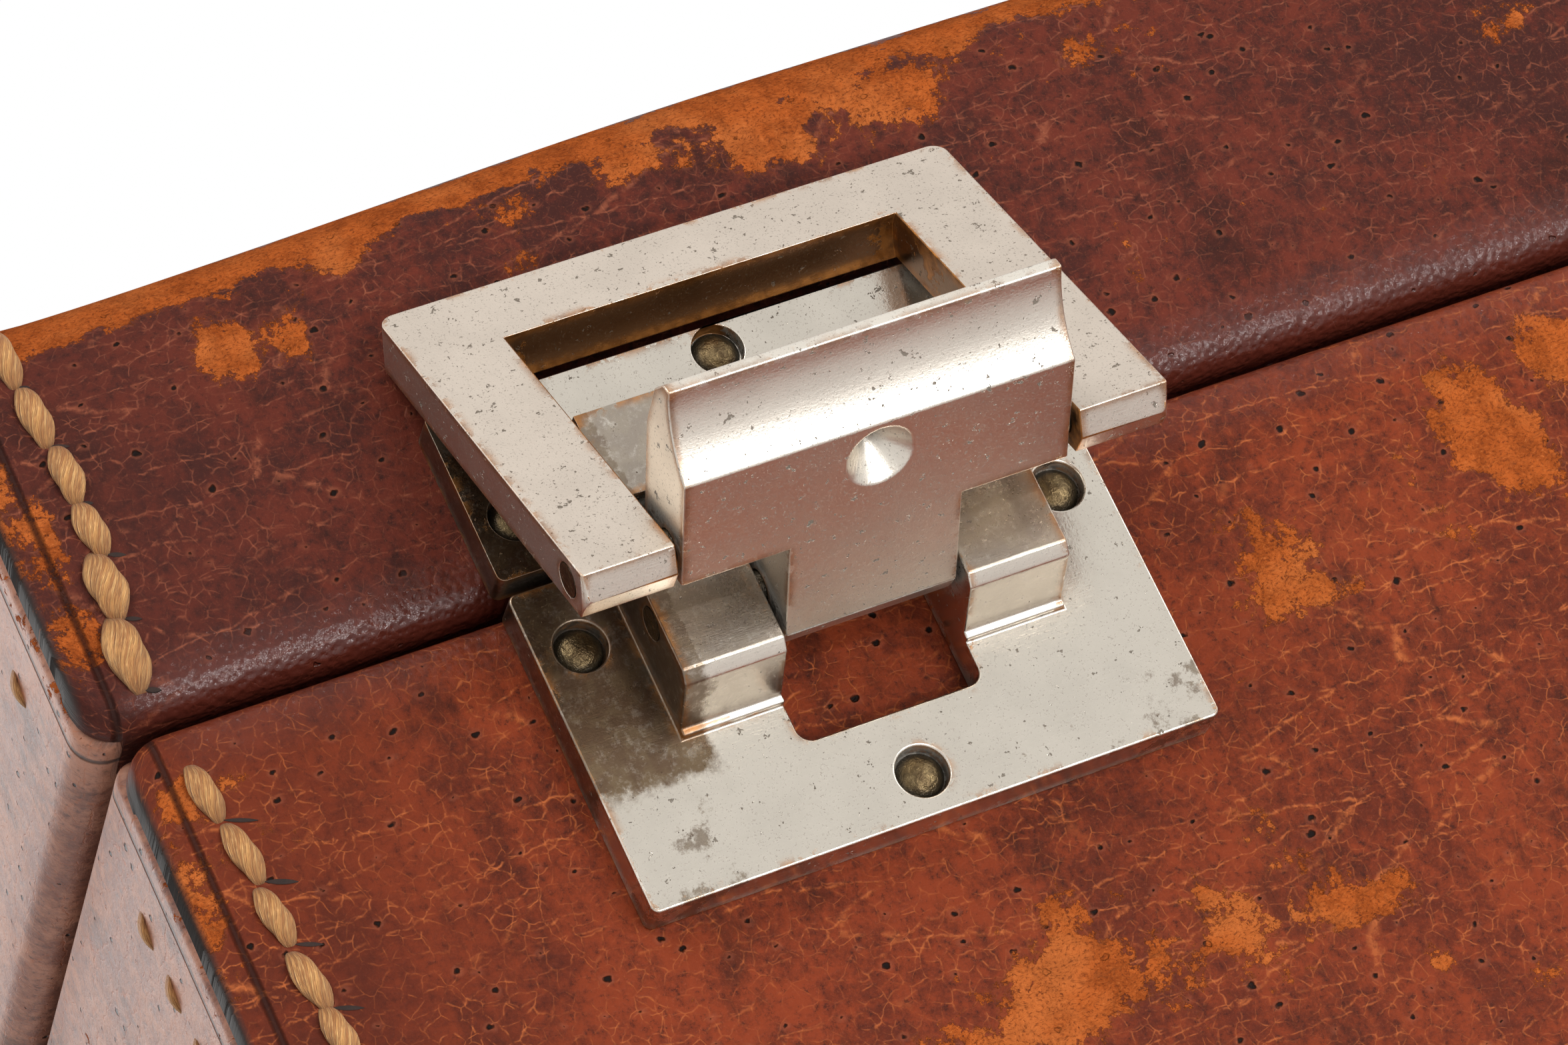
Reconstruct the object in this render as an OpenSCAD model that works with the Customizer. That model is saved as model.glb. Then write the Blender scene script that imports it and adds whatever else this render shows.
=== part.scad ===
// Leather camera case with a hinged lid, two over-centre latches and a carrying handle.
// It stands on its base. X runs left to right, Y to the back, Z up. All sizes in millimetres.

/* [Case] */
// Outer width over the leather
case_w = 292; // [260:1:340]
// Outer depth over the leather
case_d = 146; // [130:1:190]
// Height of the body from floor to rim
body_h = 182; // [165:1:230]
// Height of the lid from rim to top
lid_h = 32; // [29:0.5:50]
// Gap between the rims of body and lid
seam_gap = 1; // [0.7:0.1:1.6]
// Thickness of the outer leather
leather_t = 2.6; // [2.2:0.1:3.2]
// Thickness of the wooden boards
board_t = 5; // [4:0.5:7]
// Outer radius of the leather folded round the long edges
fold_r = 6; // [4.5:0.5:9]
// Thickness of the leather turned in over a rim
turn_t = 1.6; // [1.2:0.1:2]
// Outer rounding of the body rim
body_rim_r = 1.4; // [0.8:0.1:2]
// Outer rounding of the lid rim
lid_rim_r = 2.2; // [1:0.1:2.2]
// Rounding of the leather corners beside the rims
rim_corner_r = 3; // [1:0.5:5]
// Open seam between an end leather and the long leather
end_seam = 0.6; // [0.2:0.1:1]

/* [Inside] */
// Thickness of the body lining
body_lining_t = 1.2; // [1:0.1:1.6]
// Thickness of the lid lining
lid_lining_t = 0.7; // [0.5:0.1:0.8]
// Thickness of the lip that guides the lid
lip_t = 1.6; // [1.2:0.1:2.4]
// Height of the lip above the body rim
lip_rise = 5; // [3:0.5:8]
// Depth of the lip below the body rim
lip_drop = 18; // [12:1:24]
// Thickness of the felt pad on the floor
pad_t = 3; // [2:0.5:5]
// Thickness of the padded dividers
divider_t = 4; // [3:0.5:6]
// Height of the dividers
divider_h = 118; // [80:1:130]
// Clear width of the main compartment
main_w = 150; // [110:1:170]
// Clear depth of the compartment behind the side divider
side_d = 58; // [45:1:70]
// Clear width of the small front compartment
small_w = 52; // [40:1:60]

/* [Latch] */
// Distance from the end of the case to the middle of a latch
latch_inset = 46; // [32:1:70]
// Width of the latch plates
plate_w = 40; // [38:0.5:46]
// Thickness of the latch plates
plate_t = 2.9; // [2.4:0.1:3.4]
// Height of the body plate
body_plate_h = 22.8; // [21:0.2:28]
// Height of the catch plate
catch_plate_h = 12.3; // [11.5:0.1:12.6]
// Gap between the two plates
plate_gap = 1; // [0.8:0.1:1.4]
// Height of the lugs above the plate
lug_h = 5.4; // [5.2:0.1:6.2]
// Height of the catch block above the plate
catch_h = 7.3; // [6.4:0.1:8]
// Length of the catch block up the lid
catch_l = 6.2; // [5:0.1:6.4]
// Width over the lugs and the catch block
lug_span = 27; // [25:0.1:27.2]
// Clear width between the lugs
lug_gap = 12.8; // [11:0.1:14]
// Distance from the plate's foot to the lever pivot
pivot_up = 16.6; // [16:0.1:17.4]
// Height of the lever pivot above the plate
pivot_out = 3.9; // [3.9:0.1:4.1]
// Diameter of the latch pins
latch_pin_d = 2.2; // [1.8:0.1:2.4]
// Length of the lever from pivot to lip
lever_l = 20.7; // [20:0.1:24]
// Opening angle of the lever from closed
lever_open = 111; // [100:1:115]
// Thickness of the bail
bail_t = 3.54; // [3.2:0.01:3.8]
// Width of the bail's arms
arm_w = 6.3; // [5:0.1:6.5]
// Width of the bail's far bar
bar_w = 5.8; // [5:0.1:7]

/* [Hinges] */
// Distance from the end of the case to the middle of a hinge
hinge_inset = 51; // [40:1:70]
// Width of a hinge
hinge_w = 44; // [36:1:56]
// Height of a hinge leaf beyond the knuckles
leaf_h = 15; // [12:0.5:18]
// Thickness of a hinge leaf
leaf_t = 1.5; // [1.2:0.1:2]
// Outer radius of the hinge knuckles
knuckle_r = 2.8; // [2.4:0.1:3.4]
// Diameter of a hinge pin
hinge_pin_d = 2.4; // [1.8:0.1:2.6]

/* [Handle] */
// Distance between the two handle pivots
handle_span = 116; // [100:1:150]
// Distance from the pivots to the middle of the grip
handle_reach = 34; // [30:1:42]
// Height of the grip's section
grip_w = 16; // [13:0.5:18]
// Thickness of the grip's section
grip_t = 12; // [10:0.5:12.5]
// Height of the handle pivots above the lid
handle_rise = 7.4; // [7.4:0.1:10]
// Diameter of a handle pin
handle_pin_d = 3; // [2.5:0.1:4]

/* [Hidden] */
$fn = 64;

// Clearances
running = 0.05;      // radial, a pin in a moving part
snug = 0.02;         // radial, a pin or nail in a fixed part
side_play = 0.4;     // between parts that pass beside each other
rest_gap = 0.25;     // under the open bail and between folded latch parts

// Colours
leather_c = [0.36, 0.15, 0.10];
end_leather_c = [0.45, 0.36, 0.33];
lining_c = [0.32, 0.05, 0.07];
wood_c = [0.72, 0.56, 0.38];
nickel_c = [0.80, 0.77, 0.71];
brass_c = [0.72, 0.56, 0.26];

// Case levels and walls
lid_z = body_h + seam_gap;
case_top = lid_z + lid_h;
seam_z = body_h + seam_gap / 2;
half_w = case_w / 2;
half_d = case_d / 2;
board_x = half_w - leather_t;
board_y = half_d - leather_t;
inner_x = board_x - board_t;
inner_y = board_y - board_t;
board_top = body_h - turn_t;
lid_board_z = lid_z + turn_t;
inner_fold_r = fold_r - leather_t;
floor_z = leather_t + board_t;
pad_z = floor_z + body_lining_t;
divider_z = pad_z + pad_t;
lined_x = inner_x - body_lining_t;
lined_y = inner_y - body_lining_t;
lid_under = case_top - leather_t;
ceiling_z = lid_under - board_t;
main_x0 = -lined_x + main_w;
side_y0 = lined_y - side_d - divider_t;
small_x0 = lined_x - small_w - divider_t;

// Flat outline from corner a to corner b, with its lower and upper corners rounded
module rounded(a, b, low_r, high_r) {
    translate([a.x, a.y + low_r]) square([b.x - a.x, b.y - a.y - low_r - high_r]);
    if (low_r > 0) {
        translate([a.x + low_r, a.y]) square([b.x - a.x - 2 * low_r, low_r]);
        for (x = [a.x + low_r, b.x - low_r]) translate([x, a.y + low_r]) circle(low_r);
    }
    if (high_r > 0) {
        translate([a.x + high_r, b.y - high_r]) square([b.x - a.x - 2 * high_r, high_r]);
        for (x = [a.x + high_r, b.x - high_r]) translate([x, b.y - high_r]) circle(high_r);
    }
}

// A Y-Z outline drawn out along X, and an X-Z outline drawn out along Y
module along_x(x0, x1) translate([x0, 0, 0]) rotate([90, 0, 90]) linear_extrude(x1 - x0) children();
module along_y(y0, y1) translate([0, y1, 0]) rotate([90, 0, 0]) linear_extrude(y1 - y0) children();
module block(a, b) translate(a) cube(b - a);
module pin_x(x0, x1, d) translate([x0, 0, 0]) rotate([0, 90, 0]) cylinder(h = x1 - x0, d = d);

// Nails: a domed head on a plate, and a shank that goes on into the board
nail_shank_d = 1.4;
nail_head_d = 3.2;
nail_head_t = 1;
nail_grip = 3.6;
nail_seat = 1.1;
body_nails = [[-16.9, 18.1], [16.9, 18.1], [0, 3]];
catch_nail_side = 17.2;
catch_nail_low = 4;
catch_nail_high = 1.8;
hinge_nail_x = hinge_w / 2 - 6;
hinge_nail_side_up = 4.5;
hinge_nail_mid_up = 10.5;
bracket_nail_x = 9;
bracket_nail_y = 5.5;

// Nail with its head's underside at the origin, pointing along +Y
module nail(reach) {
    rotate([-90, 0, 0]) cylinder(h = reach, d = nail_shank_d);
    intersection() {
        translate([0, nail_head_d * 0.6 - nail_head_t, 0]) sphere(d = nail_head_d * 1.2);
        translate([0, -nail_head_t, 0]) rotate([-90, 0, 0]) cylinder(h = nail_head_t, d = nail_head_d);
    }
}
module nail_bore(reach) rotate([-90, 0, 0]) cylinder(h = reach, d = nail_shank_d + 2 * snug);

// Latch frame: origin on the front leather, in the middle of the body plate's lower edge
latch_x = half_w - latch_inset;
latch_z = seam_z - plate_gap / 2 - body_plate_h;
module at_latch(side) translate([side * latch_x, -half_d, latch_z]) children();
catch_z = body_plate_h + plate_gap;
catch_top = catch_z + catch_plate_h;
latch_nail_reach = plate_t - nail_seat + leather_t + nail_grip;

module latch_nail_places() {
    for (p = body_nails) translate([p.x, -plate_t + nail_seat, p.y]) children();
}
module catch_nail_places() {
    for (x = [-catch_nail_side, catch_nail_side])
        translate([x, -plate_t + nail_seat, catch_z + catch_nail_low]) children();
    translate([0, -plate_t + nail_seat, catch_top - catch_nail_high]) children();
}
module at_latches() for (side = [-1, 1]) at_latch(side) children();

// Hinge frame: origin on the back leather at the middle of the seam, at the hinge's middle
axis_out = knuckle_r + 0.3;
knuckle_play = 0.3;
knuckles = 5;
leaf_foot = knuckle_r + 0.5;
hinge_x = half_w - hinge_inset;
module at_hinge(side) translate([side * hinge_x, half_d, seam_z]) children();
module leaf_nail_places(up) {
    for (x = [-hinge_nail_x, hinge_nail_x])
        translate([x, leaf_t, up * (leaf_foot + hinge_nail_side_up)]) rotate([0, 0, 180]) children();
    translate([0, leaf_t, up * (leaf_foot + hinge_nail_mid_up)]) rotate([0, 0, 180]) children();
}
module at_hinges() for (side = [-1, 1]) at_hinge(side) children();

// Handle frame: origin on the lid's top, below one pivot
bracket_t = 1.8;
module at_bracket(side) translate([side * handle_span / 2, 0, case_top]) children();
module bracket_nail_places() {
    for (side = [-1, 1]) at_bracket(side)
        for (x = [-bracket_nail_x, bracket_nail_x], y = [-bracket_nail_y, bracket_nail_y])
            translate([x, y, bracket_t]) rotate([-90, 0, 0]) children();
}

module front_nail_bores() {
    at_latches() {
        latch_nail_places() nail_bore(latch_nail_reach + snug);
        catch_nail_places() nail_bore(latch_nail_reach + snug);
    }
}
hinge_nail_reach = leaf_t + leather_t + nail_grip;
module back_nail_bores() {
    at_hinges() {
        leaf_nail_places(-1) nail_bore(hinge_nail_reach + snug);
        leaf_nail_places(1) nail_bore(hinge_nail_reach + snug);
    }
}
bracket_nail_reach = bracket_t + leather_t + nail_grip;
module top_nail_bores() bracket_nail_places() nail_bore(bracket_nail_reach + snug);

// Outlines of the wall sections, seen along X
module body_inside_of_leather() {
    rounded([-board_y, leather_t], [board_y, board_top], inner_fold_r, 0);
}
module lid_inside_of_leather() {
    rounded([-board_y, lid_board_z], [board_y, case_top - leather_t], 0, inner_fold_r);
}
// Outlines of the leather's ends, seen along Y
module body_front_outline(r) rounded([-half_w, 0], [half_w, body_h], 0, r);
module lid_front_outline(r) rounded([-half_w, lid_z], [half_w, case_top], r, 0);

// Body leather: one hide round front, bottom and back, turned in over both rims
module body_leather() color(leather_c) difference() {
    intersection() {
        along_x(-half_w, half_w)
            rounded([-half_d, 0], [half_d, body_h], fold_r, body_rim_r);
        along_y(-half_d, half_d) body_front_outline(rim_corner_r);
    }
    along_x(-half_w - 1, half_w + 1) body_inside_of_leather();
    block([-half_w - 1, -inner_y, leather_t + inner_fold_r], [half_w + 1, inner_y, body_h + 1]);
    for (side = [-1, 1]) translate([side * (half_w + board_x) / 2, 0, body_h / 2 + fold_r])
        cube([leather_t, 2 * board_y, body_h], center = true);
    front_nail_bores();
    back_nail_bores();
}

module body_end_leather(side) color(end_leather_c) difference() {
    x0 = side < 0 ? -half_w : board_x;
    union() {
        intersection() {
            along_x(x0, x0 + leather_t) rounded([-board_y + end_seam, leather_t + end_seam],
                [board_y - end_seam, body_h], inner_fold_r - end_seam, 0);
            along_y(-half_d, half_d) body_front_outline(body_rim_r);
        }
        block([min(side * board_x, side * inner_x), -inner_y + end_seam, board_top],
            [max(side * board_x, side * inner_x), inner_y - end_seam, body_h]);
    }
}

module body_board(a, b) color(wood_c) difference() {
    intersection() {
        block(a, b);
        along_x(-half_w, half_w) body_inside_of_leather();
    }
    front_nail_bores();
    back_nail_bores();
}
module bottom_board() body_board([-inner_x, -inner_y, leather_t], [inner_x, inner_y, floor_z]);
module front_board() body_board([-board_x, -board_y, leather_t], [board_x, -inner_y, board_top]);
module back_board() body_board([-board_x, inner_y, leather_t], [board_x, board_y, board_top]);
module left_board() body_board([-board_x, -inner_y, leather_t], [-inner_x, inner_y, board_top]);
module right_board() body_board([inner_x, -inner_y, leather_t], [board_x, inner_y, board_top]);

// Lining, lip, pad and dividers
module body_lining() color(lining_c) difference() {
    block([-inner_x, -inner_y, floor_z], [inner_x, inner_y, body_h]);
    block([-lined_x, -lined_y, pad_z], [lined_x, lined_y, body_h + 1]);
}
module body_lip() color(lining_c) difference() {
    block([-lined_x, -lined_y, body_h - lip_drop], [lined_x, lined_y, body_h + lip_rise]);
    block([-lined_x + lip_t, -lined_y + lip_t, body_h - lip_drop - 1],
        [lined_x - lip_t, lined_y - lip_t, body_h + lip_rise + 1]);
}
module floor_pad() color(lining_c) block([-lined_x, -lined_y, pad_z], [lined_x, lined_y, divider_z]);
module main_divider() color(lining_c)
    block([main_x0, -lined_y, divider_z], [main_x0 + divider_t, lined_y, divider_z + divider_h]);
module side_divider() color(lining_c)
    block([main_x0 + divider_t, side_y0, divider_z], [lined_x, side_y0 + divider_t, divider_z + divider_h]);
module small_divider() color(lining_c)
    block([small_x0, -lined_y, divider_z], [small_x0 + divider_t, side_y0, divider_z + divider_h]);

// Lid leather: one hide round front, top and back, turned in over both rims
module lid_leather() color(leather_c) difference() {
    intersection() {
        along_x(-half_w, half_w)
            rounded([-half_d, lid_z], [half_d, case_top], lid_rim_r, fold_r);
        along_y(-half_d, half_d) lid_front_outline(rim_corner_r);
    }
    along_x(-half_w - 1, half_w + 1) lid_inside_of_leather();
    block([-half_w - 1, -inner_y, lid_z - 1], [half_w + 1, inner_y, case_top - leather_t - inner_fold_r]);
    for (side = [-1, 1]) translate([side * (half_w + board_x) / 2, 0, lid_z - fold_r + lid_h / 2])
        cube([leather_t, 2 * board_y, lid_h], center = true);
    front_nail_bores();
    back_nail_bores();
    top_nail_bores();
}

module lid_end_leather(side) color(end_leather_c) {
    x0 = side < 0 ? -half_w : board_x;
    intersection() {
        along_x(x0, x0 + leather_t) rounded([-board_y + end_seam, lid_z],
            [board_y - end_seam, case_top - leather_t - end_seam], 0, inner_fold_r - end_seam);
        along_y(-half_d, half_d) lid_front_outline(lid_rim_r);
    }
    block([min(side * board_x, side * inner_x), -inner_y + end_seam, lid_z],
        [max(side * board_x, side * inner_x), inner_y - end_seam, lid_board_z]);
}

module lid_board(a, b) color(wood_c) difference() {
    intersection() {
        block(a, b);
        along_x(-half_w, half_w) lid_inside_of_leather();
    }
    front_nail_bores();
    back_nail_bores();
    top_nail_bores();
}
module lid_top_board() lid_board([-inner_x, -inner_y, ceiling_z], [inner_x, inner_y, lid_under]);
module lid_front_board() lid_board([-board_x, -board_y, lid_board_z], [board_x, -inner_y, lid_under]);
module lid_back_board() lid_board([-board_x, inner_y, lid_board_z], [board_x, board_y, lid_under]);
module lid_left_board() lid_board([-board_x, -inner_y, lid_board_z], [-inner_x, inner_y, lid_under]);
module lid_right_board() lid_board([inner_x, -inner_y, lid_board_z], [board_x, inner_y, lid_under]);
module lid_lining() color(lining_c) difference() {
    block([-inner_x, -inner_y, lid_z], [inner_x, inner_y, ceiling_z]);
    block([-inner_x + lid_lining_t, -inner_y + lid_lining_t, lid_z - 1],
        [inner_x - lid_lining_t, inner_y - lid_lining_t, ceiling_z - lid_lining_t]);
}

// Latch profiles are drawn closed, in the latch frame, as [y, z] with y = -height
pivot = [-(plate_t + pivot_out), pivot_up];
eye_r = pivot_out - 0.15;
lever_front = pivot_out - 0.15;
lever_back = lug_h - pivot_out;
lever_from = 6.6;
scoop_from = 14.95;
tip_front = 1.3;
scoop_r = 8;
heel = 0.9;
link = [8.4, -1.87];
lever_w = lug_span - 0.2;
tongue_w = lug_gap - 2 * side_play;
bail_in = lug_span / 2 + side_play;
bail_out = bail_in + arm_w;
arm_end = 2.5;
bail_in_l = catch_z + catch_l + 0.4 - (pivot.y - link.x);
countersink_d = 4.6;
countersink_u = 12.2;

// Point of the closed lever: u runs from the pivot to the lip, w away from the plate
function on_lever(u, w) = [pivot.x - w, pivot.y - u];
link_closed = on_lever(link.x, link.y);
function turned(p, about, angle) = [
    about.x + (p.x - about.x) * cos(angle) - (p.y - about.y) * sin(angle),
    about.y + (p.x - about.x) * sin(angle) + (p.y - about.y) * cos(angle)];
link_open = turned(link_closed, pivot, -lever_open);

// Tilt at which the far bar of the open bail comes down on the lid's leather
bail_reach = bail_in_l + bar_w;
bail_drop = -link_open.x - rest_gap;
bail_tilt = asin(bail_drop / norm([bail_reach, bail_t / 2])) - atan2(bail_t / 2, bail_reach);

module at_point(p) translate([0, p.x, p.y]) children();
module opened_lever() at_point(pivot) rotate([-lever_open, 0, 0]) at_point(-pivot) children();
module opened_bail() at_point(link_open) rotate([-bail_tilt, 0, 0]) at_point(-link_closed) children();

plate_corner_r = 0.6;
countersink_r = 1.75;
module nail_countersink() {
    rotate([90, 0, 0]) translate([0, 0, -snug]) cylinder(h = nail_seat + 1, r = countersink_r);
    nail_bore(latch_nail_reach);
}

lug_foot = 10.1;
lug_brow = 12.5;
lug_ledge = 0.5;
window_low = 7.3;
window_high = pivot_up + 3.6;
module latch_plate(side) color(nickel_c) at_latch(side) difference() {
    union() {
        along_y(-plate_t, 0)
            rounded([-plate_w / 2, 0], [plate_w / 2, body_plate_h], plate_corner_r, plate_corner_r);
        for (x = [-lug_span / 2, lug_gap / 2]) along_x(x, x + (lug_span - lug_gap) / 2)
            polygon([[-plate_t / 2, lug_foot], [-plate_t - lug_ledge, lug_foot],
                [-plate_t - lug_ledge, lug_foot + 0.5], [-plate_t - lug_h + 0.7, lug_brow - 0.8],
                [-plate_t - lug_h, lug_brow], [-plate_t - lug_h, body_plate_h],
                [-plate_t / 2, body_plate_h]]);
    }
    along_y(-plate_t - 1, 1) rounded([-lug_gap / 2, window_low], [lug_gap / 2, window_high], 1, 1);
    at_point(pivot) pin_x(-plate_w, plate_w, latch_pin_d + 2 * snug);
    latch_nail_places() nail_countersink();
}

cut_w = 0.5;
cut_depth = 0.8;
module catch_plate(side) color(nickel_c) at_latch(side) difference() {
    union() {
        along_y(-plate_t, 0)
            rounded([-plate_w / 2, catch_z], [plate_w / 2, catch_top], plate_corner_r, plate_corner_r);
        block([-lug_span / 2, -plate_t - catch_h, catch_z], [lug_span / 2, -plate_t / 2, catch_z + catch_l]);
    }
    for (x = [-lug_gap / 2, lug_gap / 2])
        block([x - cut_w / 2, -plate_t - catch_h - 1, catch_z + catch_l - 1.2],
            [x + cut_w / 2, -plate_t - catch_h + cut_depth, catch_z + catch_l + 1]);
    catch_nail_places() nail_countersink();
}

scoop_a = on_lever(scoop_from, -lever_front);
scoop_b = on_lever(lever_l - 0.3, -tip_front);
scoop_mid = (scoop_a + scoop_b) / 2;
scoop_chord = norm(scoop_b - scoop_a);
scoop_side = [(scoop_a.y - scoop_b.y), (scoop_b.x - scoop_a.x)] / scoop_chord;
scoop_c = scoop_mid + scoop_side * sqrt(scoop_r * scoop_r - scoop_chord * scoop_chord / 4);
module lever(side) color(nickel_c) at_latch(side) opened_lever() difference() {
    union() {
        along_x(-lever_w / 2, lever_w / 2) difference() {
            polygon([on_lever(lever_from, -lever_front), on_lever(lever_l, -lever_front),
                on_lever(lever_l, -0.5), on_lever(lever_l - 1.2, 0.6),
                on_lever(lever_l - 4.5, lever_back), on_lever(lever_from + 0.6, lever_back),
                on_lever(lever_from, lever_back - 0.6)]);
            translate(scoop_c) circle(scoop_r);
        }
        along_x(-tongue_w / 2, tongue_w / 2) {
            polygon([on_lever(-heel, -lever_front), on_lever(lever_from + 1, -lever_front),
                on_lever(lever_from + 1, lever_back), on_lever(0, lever_back), on_lever(-heel, 0)]);
            translate(pivot) circle(eye_r);
        }
    }
    at_point(pivot) pin_x(-plate_w, plate_w, latch_pin_d + 2 * running);
    at_point(link_closed) pin_x(-plate_w, plate_w, latch_pin_d + 2 * snug);
    at_point(on_lever(countersink_u, -lever_front - 0.01)) rotate([90, 0, 0])
        cylinder(h = countersink_d / 2, d1 = countersink_d, d2 = 0.4);
}

bail_corner_r = 1.1;
hook_r = 4;
hook_depth = 0.45;
bail_foot = link_closed.y - arm_end;
face_bevel = 0.35;
under_bevel = 0.8;
module bail(side) color(nickel_c) at_latch(side) opened_bail() difference() {
    along_y(link_closed.x - bail_t / 2, link_closed.x + bail_t / 2)
        rounded([-bail_out, link_closed.y - arm_end], [bail_out, link_closed.y + bail_reach],
            0.6, bail_corner_r);
    block([-bail_in, link_closed.x - bail_t, link_closed.y - arm_end - 1],
        [bail_in, link_closed.x + bail_t, link_closed.y + bail_in_l]);
    along_x(-plate_w, plate_w) polygon([
        [link_closed.x - bail_t / 2, bail_foot + face_bevel], [link_closed.x + 0.25, bail_foot],
        [link_closed.x + bail_t / 2, bail_foot + under_bevel],
        [link_closed.x + bail_t, bail_foot + under_bevel], [link_closed.x + bail_t, bail_foot - 1],
        [link_closed.x - bail_t, bail_foot - 1], [link_closed.x - bail_t, bail_foot + face_bevel]]);
    at_point([link_closed.x, link_closed.y + bail_in_l + hook_depth - hook_r])
        pin_x(-bail_in, bail_in, 2 * hook_r);
    at_point(link_closed) pin_x(-plate_w, plate_w, latch_pin_d + 2 * running);
}

module lever_pin(side) color(brass_c) at_latch(side)
    at_point(pivot) pin_x(-lug_span / 2, lug_span / 2, latch_pin_d);
module bail_pin(side) color(brass_c) at_latch(side)
    at_point(link_open) pin_x(-bail_out, bail_out, latch_pin_d);
module latch_nails() color(brass_c) at_latches() latch_nail_places() nail(latch_nail_reach);
module catch_nails() color(brass_c) at_latches() catch_nail_places() nail(latch_nail_reach);

// Hinge leaf: up is 1 for the lid's leaf and -1 for the body's
module hinge_leaf(side, up) color(nickel_c) at_hinge(side) difference() {
    step = hinge_w / knuckles;
    first = up < 0 ? 0 : 1;
    union() {
        translate([-hinge_w / 2, 0, up < 0 ? -leaf_foot - leaf_h : leaf_foot])
            cube([hinge_w, leaf_t, leaf_h]);
        for (i = [first : 2 : knuckles - 1]) {
            x0 = -hinge_w / 2 + i * step + knuckle_play / 2;
            x1 = x0 + step - knuckle_play;
            at_point([axis_out, 0]) pin_x(x0, x1, 2 * knuckle_r);
            block([x0, 0.3, min(0, up * (leaf_foot + 1))], [x1, leaf_t + 0.3, max(0, up * (leaf_foot + 1))]);
        }
    }
    at_point([axis_out, 0]) pin_x(-hinge_w, hinge_w, hinge_pin_d + 2 * (up < 0 ? snug : running));
    leaf_nail_places(up) nail_bore(hinge_nail_reach);
}
pin_head_d = 4.6;
pin_head_t = 1.2;
module hinge_pin(side) color(brass_c) at_hinge(side) at_point([axis_out, 0]) {
    pin_x(-hinge_w / 2 - pin_head_t / 2, hinge_w / 2 + pin_head_t / 2, hinge_pin_d);
    for (turn = [90, -90]) rotate([0, turn, 0]) translate([0, 0, hinge_w / 2]) rotate_extrude()
        polygon([[0, 0], [pin_head_d / 2, 0], [pin_head_d / 2, pin_head_t / 2],
            [pin_head_d / 2 - 0.6, pin_head_t], [0, pin_head_t]]);
}
module hinge_body_nails() color(brass_c) at_hinges() leaf_nail_places(-1) nail(hinge_nail_reach);
module hinge_lid_nails() color(brass_c) at_hinges() leaf_nail_places(1) nail(hinge_nail_reach);

// Handle, laid back on the lid: a steel core with an eye at each end, inside a leather grip
eye_d = 10;
eye_w = 6;
core_d = 5;
ear_t = 2.2;
ear_play = 0.25;
bracket_l = 25;
bracket_w = 17;
leg_from = 9;
bend_r = 18;
bend_x = handle_span / 2 - bend_r;
bend_y = handle_reach - bend_r;
module bracket(side) color(nickel_c) difference() {
    at_bracket(side) union() {
        translate([-bracket_l / 2, -bracket_w / 2, 0]) cube([bracket_l, bracket_w, bracket_t]);
        for (x = [-1, 1]) translate([x * (eye_w / 2 + ear_play + ear_t / 2) - ear_t / 2, 0, 0]) {
            translate([0, 0, handle_rise]) pin_x(0, ear_t, eye_d);
            translate([0, -eye_d / 2, 0]) cube([ear_t, eye_d, handle_rise]);
        }
    }
    at_bracket(side) translate([0, 0, handle_rise]) pin_x(-bracket_l, bracket_l, handle_pin_d + 2 * snug);
    bracket_nail_places() nail_bore(bracket_nail_reach);
}
module handle_pin(side) color(brass_c) at_bracket(side) translate([0, 0, handle_rise])
    pin_x(-eye_w / 2 - ear_play - ear_t, eye_w / 2 + ear_play + ear_t, handle_pin_d);

// A section carried along the handle's U, its legs starting at from
module along_handle(from) translate([0, 0, case_top + handle_rise]) {
    translate([-bend_x, handle_reach, 0]) rotate([90, 0, 90]) linear_extrude(2 * bend_x) children();
    for (side = [-1, 1]) translate([side * bend_x, bend_y, 0]) {
        rotate([0, 0, side < 0 ? 90 : 0]) rotate_extrude(angle = 90) translate([bend_r, 0]) children();
        translate([side * bend_r, 0, 0]) rotate([90, 0, 0]) linear_extrude(bend_y - from) children();
    }
}
module handle_core() color(nickel_c) {
    along_handle(eye_d / 2 - 1) circle(d = core_d);
    for (side = [-1, 1]) at_bracket(side) translate([0, 0, handle_rise]) difference() {
        pin_x(-eye_w / 2, eye_w / 2, eye_d);
        pin_x(-eye_w, eye_w, handle_pin_d + 2 * running);
    }
}
module grip_section() {
    side_r = grip_t / 2;
    difference() {
        union() {
            translate([-grip_w / 2 + side_r, -side_r]) square([grip_w - grip_t, grip_t]);
            for (x = [-1, 1]) translate([x * (grip_w / 2 - side_r), 0]) circle(side_r);
        }
        circle(d = core_d + 2 * snug);
    }
}
module handle_grip() color(leather_c) along_handle(leg_from) grip_section();
module bracket_nails() color(brass_c) bracket_nail_places() nail(bracket_nail_reach);

bottom_board();
front_board();
back_board();
left_board();
right_board();
body_leather();
body_end_leather(-1);  // body_left_leather
body_end_leather(1);  // body_right_leather
body_lining();
body_lip();
floor_pad();
main_divider();
side_divider();
small_divider();
lid_top_board();
lid_front_board();
lid_back_board();
lid_left_board();
lid_right_board();
lid_leather();
lid_end_leather(-1);  // lid_left_leather
lid_end_leather(1);  // lid_right_leather
lid_lining();
latch_plate(-1);  // latch_plate_left
latch_plate(1);  // latch_plate_right
catch_plate(-1);  // catch_plate_left
catch_plate(1);  // catch_plate_right
lever(-1);  // lever_left
lever(1);  // lever_right
bail(-1);  // bail_left
bail(1);  // bail_right
lever_pin(-1);  // lever_pin_left
lever_pin(1);  // lever_pin_right
bail_pin(-1);  // bail_pin_left
bail_pin(1);  // bail_pin_right
latch_nails();
catch_nails();
hinge_leaf(-1, -1);  // hinge_body_leaf_left
hinge_leaf(1, -1);  // hinge_body_leaf_right
hinge_leaf(-1, 1);  // hinge_lid_leaf_left
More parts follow.
